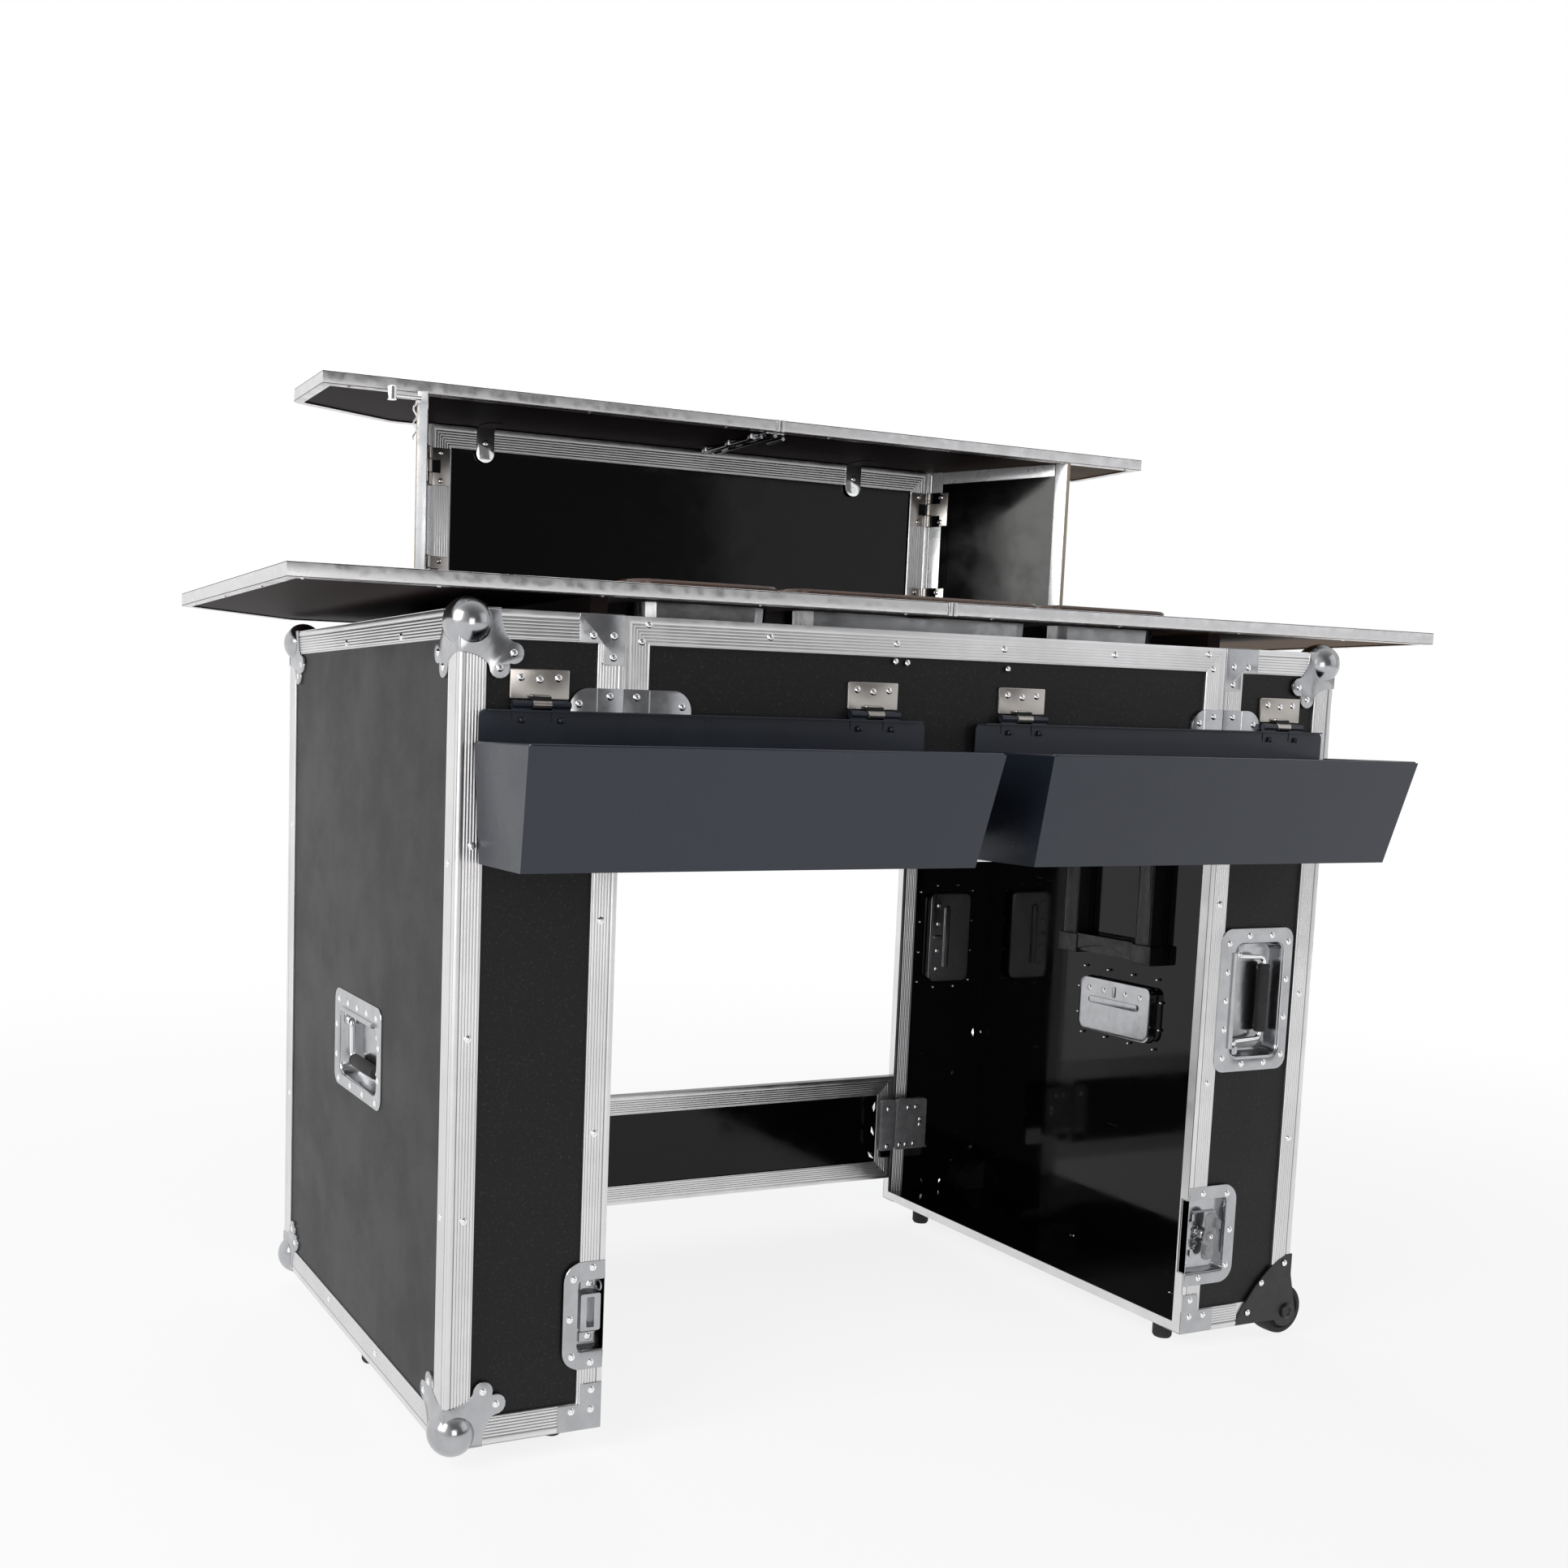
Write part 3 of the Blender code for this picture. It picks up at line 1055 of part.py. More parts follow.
def build():
    clear_scene()
    left = case_panels("left", -1)
    right = case_panels("right", 1)
    left_frame = case_frame("left", -1)
    right_frame = case_frame("right", 1)
    for label, side, piece in (("left", -1, left_frame), ("right", 1, right_frame)):
        width = KEEPER_W if side < 0 else JOIN_LATCH_W
        fuse(piece, latch_half(f"{label}_join_latch", side, 1, BASE + JOIN_LATCH_Z, -1, width))
    for deep, where in ((-1, "front"), (1, "back")):
        for up, level in ((-1, "bottom"), (1, "top")):
            ball_corner(f"left_ball_{where}_{level}", -1, deep, up)
        ball_corner(f"right_ball_{where}_top", 1, deep, 1)
    keeper(left, left_frame)
    butterfly(right, right_frame)
    back_latch(right, right_frame)
    side_handle("left", -1, left)
    side_handle("right", 1, right)
    slim_handle("slim_front", -1, right["front_panel"], right_frame)
    slim_handle("slim_back", 1, right["back_panel"], right_frame)
    corner_wheel("front", -1, right, right_frame)
    corner_wheel("back", 1, right, right_frame)
    bottom_edge(right_frame)
    cut(right_frame, trolley(right))
    for label, side in (("left", -1), ("right", 1)):
        x = side * (INNER + FOOT_INSET)
        foot(f"{label}_foot_front", x, FRONT + 0.060)
        foot(f"{label}_foot_back", x, BACK - 0.060)
        boards = left if side < 0 else right
        fuse(boards["front_panel"], *fixed_leaf(f"{label}_leaf", side * HINGE_X[1], 0.0006))
        tray(label, side)
    foot("left_foot_outer", -(SIDE - 0.026), FRONT + CASE_D / 2)
    apron()
    kick_board()
    counter()
    riser()
    bar_top()


build()
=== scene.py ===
"""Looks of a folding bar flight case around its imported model: extrusions, hardware, boards and studio."""
import json
import math

import bmesh
import bpy
import numpy as np
from bpy.props import FloatProperty, FloatVectorProperty, IntProperty, PointerProperty
from bpy.types import Operator, Panel, PropertyGroup
from mathutils import Matrix, Vector


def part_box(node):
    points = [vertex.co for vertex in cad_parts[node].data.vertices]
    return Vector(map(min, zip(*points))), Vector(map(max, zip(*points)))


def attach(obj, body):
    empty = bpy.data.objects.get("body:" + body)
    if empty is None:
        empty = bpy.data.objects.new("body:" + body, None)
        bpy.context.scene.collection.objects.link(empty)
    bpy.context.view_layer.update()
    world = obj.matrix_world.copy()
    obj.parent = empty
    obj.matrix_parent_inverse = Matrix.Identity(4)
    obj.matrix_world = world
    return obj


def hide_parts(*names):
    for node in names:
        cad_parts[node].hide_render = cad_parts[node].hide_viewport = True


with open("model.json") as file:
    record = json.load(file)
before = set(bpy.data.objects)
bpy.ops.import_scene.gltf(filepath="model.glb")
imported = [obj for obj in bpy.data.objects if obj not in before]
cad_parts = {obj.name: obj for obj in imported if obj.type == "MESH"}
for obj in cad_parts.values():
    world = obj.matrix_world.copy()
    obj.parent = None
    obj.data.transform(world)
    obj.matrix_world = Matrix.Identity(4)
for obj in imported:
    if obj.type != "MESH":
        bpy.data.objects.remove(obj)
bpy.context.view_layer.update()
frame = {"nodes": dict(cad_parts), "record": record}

bl_info = {
    "name": "Folding bar flight case",
    "version": (1, 0, 0),
    "blender": (4, 5, 0),
    "location": "View3D > Sidebar > Bar case",
    "description": "Extrusions, fasteners, hardware details and finishes of a folding bar in a flight case",
    "category": "Object",
}

# Places in the frame, in metres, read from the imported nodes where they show
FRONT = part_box("apron_frame")[0].y
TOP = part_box("apron_frame")[1].z
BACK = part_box("kick_board")[1].y
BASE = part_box("right_bottom_edge")[0].z
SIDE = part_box("right_bottom_edge")[1].x
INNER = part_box("apron_frame")[1].x + 0.0003
BOARD_THICK = 0.0145
COUNTER_UNDER = TOP + 0.020
BAR_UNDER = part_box("bar_top_left")[1].z - BOARD_THICK
BAR_FRONT = FRONT + 0.390
RISER_WALL = FRONT + 0.577
RISER_HEIGHT = 0.2485
RISER_ENDS = {"left": -0.430, "right": 0.379}
HINGE_OFF, HINGE_IN = 0.002, 0.004
WING_LENGTH = 0.208
RISER_THICK = 0.012
HANDLE_Z = BASE + 0.370
SLIM_HANDLE_Z = BASE + 0.4355
LATCH_Z = BASE + 0.1285
BACK_LATCH_Z = BASE + 0.1175
JOINING_Z = BASE + 0.739
TRAY_PIN_Z = BASE + 0.785
TRAY_HINGES = {"left": (-0.5115, -0.104), "right": (0.104, 0.5115)}
AXLE_Z = 0.038

# Sizes that several pieces share, in metres
LEG = 0.030
LIP = 0.0126
SEAM = 0.00015
UNDER_SKIN = 0.0065
HOUSING_WIDE, HOUSING_DEEP, HOUSING_HIGH = 0.088, 0.0392, 0.076
CUP_LOW, BAIL_PIVOT, BAIL_OUT = -0.0055, 0.0215, -0.0095
LATCH_FLANGE, LATCH_CUP = (0.081, 0.131), (0.064, 0.095)
CUP_FLOOR, WING_PIVOT = -0.0095, 0.035
KEEPER_FLANGE, KEEPER_CUP = (0.049, 0.121), (0.031, 0.077)

HARD_EDGE = 35.0
SIDES = (("left", -1), ("right", 1))
FINISHES = {}

# Directions along a face, up it and out of it
TO_FRONT = (1, 0, 0), (0, 0, 1), (0, -1, 0)
TO_BACK = (1, 0, 0), (0, 0, 1), (0, 1, 0)
TO_LEFT = (0, 1, 0), (0, 0, 1), (-1, 0, 0)
TO_RIGHT = (0, 1, 0), (0, 0, 1), (1, 0, 0)
UPWARD = (1, 0, 0), (0, 1, 0), (0, 0, 1)
DOWNWARD = (1, 0, 0), (0, 1, 0), (0, 0, -1)
FACES = {
    "front": ((0, FRONT, BASE), *TO_FRONT),
    "back": ((0, BACK, BASE), *TO_BACK),
    "left": ((-SIDE, FRONT, BASE), *TO_LEFT),
    "right": ((SIDE, FRONT, BASE), *TO_RIGHT),
    "top": ((0, FRONT, TOP), *UPWARD),
}


def axes(face):
    """Origin and three directions of a named face, or of a tuple that holds them."""
    return tuple(np.array(v, float) for v in (FACES[face] if isinstance(face, str) else face))


def on_face(face, points):
    """World points of local rows (a, b, out): origin + a along + b up + out outward."""
    origin, along, up, out = axes(face)
    points = np.asarray(points, float)
    return origin + points[..., :1] * along + points[..., 1:2] * up + points[..., 2:3] * out


def mirrored(spots):
    """The same spots left and right of the middle."""
    return [(side * a, b) for side in (-1, 1) for a, b in spots]


def grid_faces(rows, columns, wrap_rows=False, wrap_columns=False):
    """Quads between neighbours of a grid of points; a wrapped direction joins its last line to its first."""
    i, j = np.meshgrid(np.arange(rows if wrap_rows else rows - 1),
                       np.arange(columns if wrap_columns else columns - 1), indexing="ij")
    down, right = (i + 1) % rows, (j + 1) % columns
    return np.stack([i * columns + j, down * columns + j, down * columns + right, i * columns + right],
                    axis=-1).reshape(-1, 4)


class Shape:
    """Points and polygons of one piece, gathered from whole arrays."""

    def __init__(self):
        self.points = []
        self.polygons = []
        self.depths = []
        self.count = 0

    def add(self, points, *polygons, depths=None):
        points = np.asarray(points, float).reshape(-1, 3)
        self.depths.append(np.zeros(len(points)) if depths is None else np.asarray(depths, float).ravel())
        self.polygons += [np.asarray(block, int) + self.count for block in polygons]
        self.points.append(points)
        self.count += len(points)
        return self

    def loft(self, rings, close_start=True, close_end=True, depths=None):
        """Skin over a stack of equal closed rings, with a flat face at each end that is closed."""
        rings = np.asarray(rings, float)
        levels, around = rings.shape[:2]
        blocks = [grid_faces(levels, around, wrap_columns=True)]
        if close_start:
            blocks.append(np.arange(around)[::-1][None])
        if close_end:
            blocks.append(np.arange((levels - 1) * around, levels * around)[None])
        if depths is not None:
            depths = np.tile(depths, levels)
        return self.add(rings, *blocks, depths=depths)

    def ring(self, rings):
        """Closed skin whose last ring joins its first, as a tyre's does."""
        rings = np.asarray(rings, float)
        return self.add(rings, grid_faces(*rings.shape[:2], wrap_rows=True, wrap_columns=True))

    def copies(self, points, blocks, places):
        """The same small shape at many places, each given as an origin and three directions."""
        for place in places:
            self.add(on_face(place, points), *blocks)
        return self


def piece(name, shape, finish, body="bar", stand_for=()):
    """Object at the origin from gathered arrays: normals outward, edges over HARD_EDGE degrees kept hard."""
    mesh = bpy.data.meshes.new(name)
    points = np.concatenate(shape.points)
    loops = np.concatenate([block.ravel() for block in shape.polygons])
    sizes = np.concatenate([np.full(len(block), block.shape[1]) for block in shape.polygons])
    mesh.vertices.add(len(points))
    mesh.vertices.foreach_set("co", points.astype(np.float32).ravel())
    mesh.loops.add(len(loops))
    mesh.loops.foreach_set("vertex_index", loops.astype(np.int32))
    mesh.polygons.add(len(sizes))
    mesh.polygons.foreach_set("loop_start", np.concatenate([[0], np.cumsum(sizes)[:-1]]).astype(np.int32))
    mesh.update(calc_edges=True)
    # The groove attribute is the mask of the shade that the aluminium finish paints into the grooves.
    if any(block.any() for block in shape.depths):
        groove = mesh.attributes.new("groove", "FLOAT", "POINT")
        groove.data.foreach_set("value", np.concatenate(shape.depths).astype(np.float32))
    if mesh.validate():
        raise RuntimeError(f"{name} has faces that are not valid")
    solid = bmesh.new()
    solid.from_mesh(mesh)
    bmesh.ops.recalc_face_normals(solid, faces=solid.faces)
    solid.to_mesh(mesh)
    solid.free()
    mesh.shade_smooth()
    mesh.set_sharp_from_angle(angle=math.radians(HARD_EDGE))
    mesh.materials.append(FINISHES[finish])
    made = bpy.data.objects.new(name, mesh)
    bpy.context.scene.collection.objects.link(made)
    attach(made, body)
    if stand_for:
        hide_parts(*stand_for)


# Node materials

def node(tree, kind, settings=None, *ordered, **named):
    """Add a node; inputs are given in order or by name, as values or as sockets to link."""
    made = tree.nodes.new(f"ShaderNode{kind}")
    for key, value in (settings or {}).items():
        setattr(made, key, value)
    pairs = list(enumerate(ordered)) + [(key.replace("_", " "), value) for key, value in named.items()]
    for key, value in pairs:
        if value is None:
            continue
        if isinstance(value, bpy.types.NodeSocket):
            tree.links.new(value, made.inputs[key])
        else:
            made.inputs[key].default_value = value
    return made


class Finish:
    """A Principled material and short names for the nodes that feed it, all on Object coordinates."""

    def __init__(self, name, **fixed):
        material = bpy.data.materials.new(name)
        material.use_nodes = True
        FINISHES[name] = material
        self.tree = material.node_tree
        self.shader = self.tree.nodes["Principled BSDF"]
        self.place = node(self.tree, "TexCoord").outputs["Object"]
        for key, value in fixed.items():
            self.shader.inputs[key.replace("_", " ")].default_value = value

    def noise(self, scale, detail=3.0, rough=0.5, stretch=None, warp=0.0):
        """Value from 0 to 1 of a noise; stretch scales the three axes first."""
        where = self.place
        if stretch:
            where = node(self.tree, "Mapping", None, where, Scale=stretch).outputs[0]
        return node(self.tree, "TexNoise", None, Vector=where, Scale=scale, Detail=detail, Roughness=rough,
                    Distortion=warp).outputs["Fac"]

    def cells(self, scale):
        """Distance to the nearest of scattered points."""
        return node(self.tree, "TexVoronoi", None, Vector=self.place, Scale=scale).outputs["Distance"]

    def math(self, operation, *values):
        return node(self.tree, "Math", {"operation": operation}, *values).outputs[0]

    def span(self, value, low, high, to_low=0.0, to_high=1.0):
        """Map a value smoothly from one range to another, held at both ends."""
        smooth = {"interpolation_type": "SMOOTHSTEP"}
        return node(self.tree, "MapRange", smooth, value, low, high, to_low, to_high).outputs[0]

    def parts(self, vector):
        """The three numbers of a vector."""
        return node(self.tree, "SeparateXYZ", None, vector).outputs

    def mix(self, factor, first, second):
        """Blend of two colours by a factor."""
        made = node(self.tree, "Mix", {"data_type": "RGBA"}, factor)
        for socket, value in ((made.inputs[6], first), (made.inputs[7], second)):
            if isinstance(value, bpy.types.NodeSocket):
                self.tree.links.new(value, socket)
            else:
                socket.default_value = rgba(value)
        return made.outputs[2]

    def inside_face(self):
        """1 where a surface lies deeper under the case's faces than the boards' outsides do, 0 elsewhere."""
        centre = (0.0, (FRONT + BACK) / 2, (BASE + TOP) / 2)
        half = (SIDE, (BACK - FRONT) / 2, (TOP - BASE) / 2)
        away = node(self.tree, "VectorMath", {"operation": "SUBTRACT"}, self.place, centre)
        away = node(self.tree, "VectorMath", {"operation": "ABSOLUTE"}, away.outputs[0])
        under = node(self.tree, "VectorMath", {"operation": "SUBTRACT"}, half, away.outputs[0])
        across, along, up = self.parts(under.outputs[0])
        least = self.math("MINIMUM", across, self.math("MINIMUM", along, up))
        return self.math("GREATER_THAN", least, UNDER_SKIN)

    def underside(self):
        """1 within the lower half of the counter or the bar top, whose undersides show; 0 elsewhere."""
        height = self.parts(self.place)[2]
        middle, reach = 0.0030, 0.0036
        near = [self.math("COMPARE", height, under + middle, reach) for under in (COUNTER_UNDER, BAR_UNDER)]
        return self.math("MAXIMUM", *near)

    def colour(self, value):
        self.tree.links.new(value, self.shader.inputs["Base Color"])

    def rough(self, value):
        self.tree.links.new(value, self.shader.inputs["Roughness"])

    def bump(self, height, strength, distance):
        made = node(self.tree, "Bump", None, Strength=strength, Distance=distance, Height=height)
        self.tree.links.new(made.outputs[0], self.shader.inputs["Normal"])


def rgba(colour):
    return (*tuple(colour)[:3], 1.0)


def scaled(colour, factor):
    return tuple(min(1.0, channel * factor) for channel in tuple(colour)[:3])


def mottled(name, fixed, tones, patch, gloss=None, relief=None, spread=True):
    """Finish whose two tones, gloss and fine relief each follow a noise of their own.

    patch is the noise of the tones, spread to full contrast or as it is; gloss is a noise, the roughness at
    its low and at its high end and, where it isn't the usual one, its range; relief is a noise, a strength
    and a distance."""
    f = Finish(name, **fixed)
    factor = f.noise(*patch)
    if spread:
        factor = f.span(factor, 0.3, 0.7)
    f.colour(f.mix(factor, *tones))
    if gloss:
        noise, fine, coarse, (low, high) = (*gloss, (0.3, 0.7))[:4]
        f.rough(f.span(f.noise(*noise), low, high, fine, coarse))
    if relief:
        noise, strength, distance = relief
        f.bump(f.noise(*noise), strength, distance)


def laminate_finish(tones):
    """Case boards: matt textured laminate with small painted glints outside, rubbed gloss laminate inside."""
    f = Finish("laminate", Roughness=0.42, Specular_IOR_Level=0.28)
    inner = f.inside_face()
    outer = f.math("SUBTRACT", 1.0, inner)
    # Painted highlights: small light grey specks are mixed into the outer colour where glints of light would
    # be.
    speck = f.span(f.cells(900.0), 0.05, 0.24, 1.0, 0.0)
    painted_glint = f.math("MULTIPLY", speck, f.span(f.noise(260.0, 1.0), 0.48, 0.68))
    broad = f.span(f.noise(2.2, 2.0), 0.30, 0.70)
    textured = f.mix(broad, scaled(tones.laminate, 0.92), scaled(tones.laminate, 1.10))
    scuff = f.span(f.noise(150.0, 3.0, 0.6, (1.0, 0.06, 1.0)), 0.70, 0.76, 0.0, 0.35)
    scuff = f.math("MULTIPLY", scuff, f.span(f.noise(7.0, 2.0), 0.50, 0.64))
    rubbed = f.mix(scuff, tones.gloss, (0.16, 0.16, 0.17))
    f.colour(f.mix(inner, f.mix(painted_glint, textured, (0.26, 0.26, 0.265)), rubbed))
    matt = f.span(f.noise(11.0, 4.0, 0.6), 0.3, 0.7, 0.40, 0.48)
    shine = f.span(f.noise(18.0, 3.0), 0.3, 0.7, 0.06, 0.11)
    f.rough(f.math("ADD", f.math("MULTIPLY", inner, shine), f.math("MULTIPLY", outer, matt)))
    f.bump(f.noise(700.0, 2.0), f.math("MULTIPLY", outer, 0.10), 0.0004)


def aluminium_finish(tones):
    """Drawn aluminium with painted shade in its grooves, and fine scratches along the upright edges."""
    f = Finish("aluminium", Metallic=1.0, Roughness=0.34)
    smear = f.span(f.noise(9.0, 4.0, 0.6), 0.30, 0.70)
    # Painted shade: the groove attribute darkens the colour towards the bottom of each groove.
    groove = node(f.tree, "Attribute", {"attribute_name": "groove"}).outputs["Fac"]
    clean = f.mix(smear, scaled(tones.aluminium, 0.93), scaled(tones.aluminium, 1.04))
    f.colour(f.mix(f.math("MULTIPLY", groove, 0.85), clean, (0.10, 0.10, 0.105)))
    f.rough(f.span(f.noise(40.0, 4.0, 0.6), 0.3, 0.7, 0.30, 0.40))
    scratch = f.span(f.noise(190.0, 2.0, 0.5, (1.0, 1.0, 0.05)), 0.66, 0.70)
    f.bump(f.math("ADD", f.math("MULTIPLY", scratch, 0.35), f.noise(480.0, 2.0)), 0.07, 0.0003)


def board_finish(tones):
    """Dark stained boards of counter and bar top, whose undersides turn brown towards the right."""
    f = Finish("board", Roughness=0.62, Specular_IOR_Level=0.10)
    grain = f.noise(26.0, 6.0, 0.65, (0.25, 3.0, 1.0), 1.5)
    brown = f.math("MULTIPLY", f.span(f.parts(f.place)[0], 0.30, 0.62), f.underside())
    stain = f.mix(brown, tones.board_left, tones.board_right)
    f.colour(f.mix(grain, stain, (0.012, 0.010, 0.010)))
    f.bump(grain, 0.15, 0.0004)


def ply_edge_finish():
    """Cut edge of plywood: thin light and dark layers."""
    f = Finish("ply_edge", Roughness=0.7)
    layers = f.noise(700.0, 2.0, 0.5, (1.0, 1.0, 0.05))
    f.colour(f.mix(layers, (0.45, 0.36, 0.26), (0.62, 0.52, 0.40)))
    f.bump(layers, 0.2, 0.0004)


def metal_finishes(tones):
    """Plated, polished and worn metals."""
    plated = scaled(tones.zinc, 0.90), scaled(tones.zinc, 1.05)
    mottled("zinc", {"Metallic": 1.0, "Roughness": 0.24}, plated, (30.0, 4.0, 0.6),
            ((90.0, 4.0, 0.6), 0.16, 0.24), ((120.0, 2.0), 0.012, 0.0003))
    mottled("bright_steel", {"Metallic": 1.0, "Roughness": 0.10}, ((0.86, 0.86, 0.87), (0.95, 0.95, 0.95)),
            (40.0, 3.0), ((120.0, 3.0), 0.07, 0.16, (0.35, 0.70)), spread=False)
    mottled("nickel", {"Metallic": 1.0, "Roughness": 0.26}, ((0.50, 0.47, 0.44), (0.56, 0.53, 0.50)),
            (30.0, 3.0), ((60.0, 3.0), 0.27, 0.33))
    mottled("worn_plate", {"Metallic": 0.35, "Roughness": 0.42}, ((0.26, 0.26, 0.27), (0.36, 0.36, 0.37)),
            (70.0, 4.0, 0.6), ((90.0, 3.0), 0.34, 0.48))
    mottled("pan_steel", {"Metallic": 1.0, "Roughness": 0.16}, ((0.26, 0.265, 0.27), (0.40, 0.40, 0.41)),
            (20.0, 4.0), ((40.0, 5.0, 0.6, (1.0, 14.0, 1.0)), 0.12, 0.26), spread=False)
    edge = scaled(tones.aluminium, 0.78), scaled(tones.aluminium, 1.05)
    mottled("board_edge", {"Metallic": 1.0, "Roughness": 0.35}, edge, (34.0, 5.0, 0.65, (1.0, 1.0, 3.0)),
            ((80.0, 4.0), 0.26, 0.46), ((300.0, 3.0), 0.14, 0.0003), spread=False)
    mottled("white_strip", {"Metallic": 0.35, "Roughness": 0.36}, ((0.84, 0.85, 0.87), (0.92, 0.93, 0.94)),
            (12.0, 3.0), ((60.0, 3.0), 0.24, 0.36))


def dull_finishes(tones):
    """Laminate, rubber, plastic, powder coat, and the lids' brown, which is a painted reflection."""
    gloss = scaled(tones.gloss, 0.9), scaled(tones.gloss, 1.15)
    mottled("gloss_laminate", {"Roughness": 0.12, "Specular_IOR_Level": 0.26}, gloss, (5.0,),
            ((26.0, 4.0, 0.6), 0.07, 0.14, (0.3, 0.75)), ((60.0, 2.0), 0.02, 0.0006), spread=False)
    mottled("rubber", {"Roughness": 0.75}, ((0.010, 0.010, 0.010), (0.026, 0.025, 0.025)), (120.0, 3.0),
            relief=((500.0, 3.0), 0.25, 0.0004), spread=False)
    mottled("black_plastic", {"Roughness": 0.35}, ((0.008, 0.008, 0.009), (0.017, 0.016, 0.017)), (40.0, 3.0),
            ((90.0, 4.0), 0.28, 0.45), ((650.0, 2.0), 0.10, 0.0003), spread=False)
    coat = {"Roughness": 0.30, "IOR": 1.6, "Specular_Tint": (0.86, 0.90, 1.0, 1.0)}
    mottled("tray_paint", coat, (scaled(tones.tray, 0.92), scaled(tones.tray, 1.1)), (5.0, 3.0),
            ((20.0, 4.0), 0.26, 0.34), ((900.0, 2.0), 0.10, 0.0002))
    # Painted reflection: the lids' warm brown tones and streaks stand in for the brown that their rims reflect.
    mottled("lid_painted_reflection", {"Roughness": 0.30}, ((0.055, 0.030, 0.022), (0.105, 0.062, 0.045)),
            (16.0, 5.0, 0.6, (0.3, 3.0, 1.0), 1.0), ((50.0, 4.0, 0.6, (1.0, 9.0, 1.0)), 0.22, 0.34))


# Settings that a user of the panel may change

class BarCaseColours(PropertyGroup):
    laminate: FloatVectorProperty(name="Laminate", description="Textured laminate of the case boards",
                                  subtype="COLOR", size=3, default=(0.0050, 0.0050, 0.0054), min=0.0, max=1.0)
    gloss: FloatVectorProperty(name="Gloss laminate", subtype="COLOR", size=3,
                               description="Smooth laminate inside, on apron, kick board and riser",
                               default=(0.0030, 0.0028, 0.0030), min=0.0, max=1.0)
    aluminium: FloatVectorProperty(name="Aluminium", description="Edge extrusions", subtype="COLOR", size=3,
                                   default=(0.80, 0.795, 0.80), min=0.0, max=1.0)
    zinc: FloatVectorProperty(name="Plated steel", description="Corners, dishes, latches and rivets",
                              subtype="COLOR", size=3, default=(0.47, 0.475, 0.49), min=0.0, max=1.0)
    tray: FloatVectorProperty(name="Tray paint", description="Powder coat of the bottle trays",
                              subtype="COLOR", size=3, default=(0.010, 0.013, 0.020), min=0.0, max=1.0)
    board_left: FloatVectorProperty(name="Board at the left", description="Underside at the left end and top",
                                    subtype="COLOR", size=3, default=(0.030, 0.014, 0.015), min=0.0, max=1.0)
    board_right: FloatVectorProperty(name="Board at the right", description="Underside at the right end",
                                     subtype="COLOR", size=3, default=(0.26, 0.145, 0.065), min=0.0, max=1.0)


class BarCaseSizes(PropertyGroup):
    rivet_radius: FloatProperty(name="Rivet radius", description="Radius of a rivet head", default=0.0042,
                                min=0.002, max=0.008, unit="LENGTH", precision=4)
    rivet_rise: FloatProperty(name="Rivet rise", description="Height of a rivet head", default=0.0016,
                              min=0.0005, max=0.004, unit="LENGTH", precision=4)
    rivet_steps: IntProperty(name="Rivet steps", description="Corners round a rivet head", default=12,
                             min=6, max=24)
    groove_depth: FloatProperty(name="Groove depth", description="Depth of the grooves in the extrusions",
                                default=0.0006, min=0.0001, max=0.001, unit="LENGTH", precision=4)


def colours():
    return bpy.context.scene.bar_case_colours


def sizes():
    return bpy.context.scene.bar_case_sizes


# Small shapes

def turned_points(profile, steps, start=0.0):
    """Rings of a turned shape: point (r cos t, r sin t, h) for each profile row (r, h) and each angle t."""
    profile = np.asarray(profile, float)
    angle = start + 2 * math.pi * np.arange(steps) / steps
    around = np.stack([np.cos(angle), np.sin(angle)], axis=-1)
    rings = np.empty((len(profile), steps, 3))
    rings[..., :2] = profile[:, None, :1] * around
    rings[..., 2] = profile[:, 1:2]
    return rings


def turned(shape, profile, at, steps=24, start=0.0):
    """Turned solid about the outward axis of local axes `at`, closed flat at both ends."""
    rings = turned_points(profile, steps, start)
    return shape.loft(on_face(at, rings))


def rivet_shape():
    """Head of a blind rivet: a low dome r = R cos t, h = H sin t, with the dimple of its mandrel."""
    radius, rise = sizes().rivet_radius, sizes().rivet_rise
    profile = [(radius, -0.0004), (radius, 0.18 * rise), (0.82 * radius, 0.66 * rise),
               (0.50 * radius, 0.98 * rise), (0.32 * radius, 0.98 * rise), (0.22 * radius, 0.45 * rise)]
    head = Shape().loft(turned_points(profile, sizes().rivet_steps))
    return head.points[0], head.polygons


def add_rivets(shape, face, spots, out=0.0):
    """Rivet heads at (a, b) spots of a face, raised by out."""
    return shape.copies(*rivet_shape(), [moved(face, a, b, out) for a, b in spots])


def leg_profile():
    """Outside of one leg as (distance from nose, height): a soft nose band, then ridges between grooves."""
    depth = sizes().groove_depth
    rows = [(0.0, 0.00020), (0.0012, 0.00064), (0.0028, 0.00086), (0.0045, 0.00086), (0.0060, 0.00060),
            (0.0068, 0.00030)]
    for k in range(6):
        ridge = 0.0093 + 0.0034 * k
        rows += [(ridge - 0.00175, 0.00082 - depth), (ridge - 0.00140, 0.00052), (ridge - 0.00070, 0.00076),
                 (ridge, 0.00084), (ridge + 0.00070, 0.00076), (ridge + 0.00140, 0.00052)]
    rows += [(0.02790, 0.00082 - depth), (0.02830, 0.00060), (0.0294, 0.00050), (0.0300, -0.0003)]
    return np.array(rows)


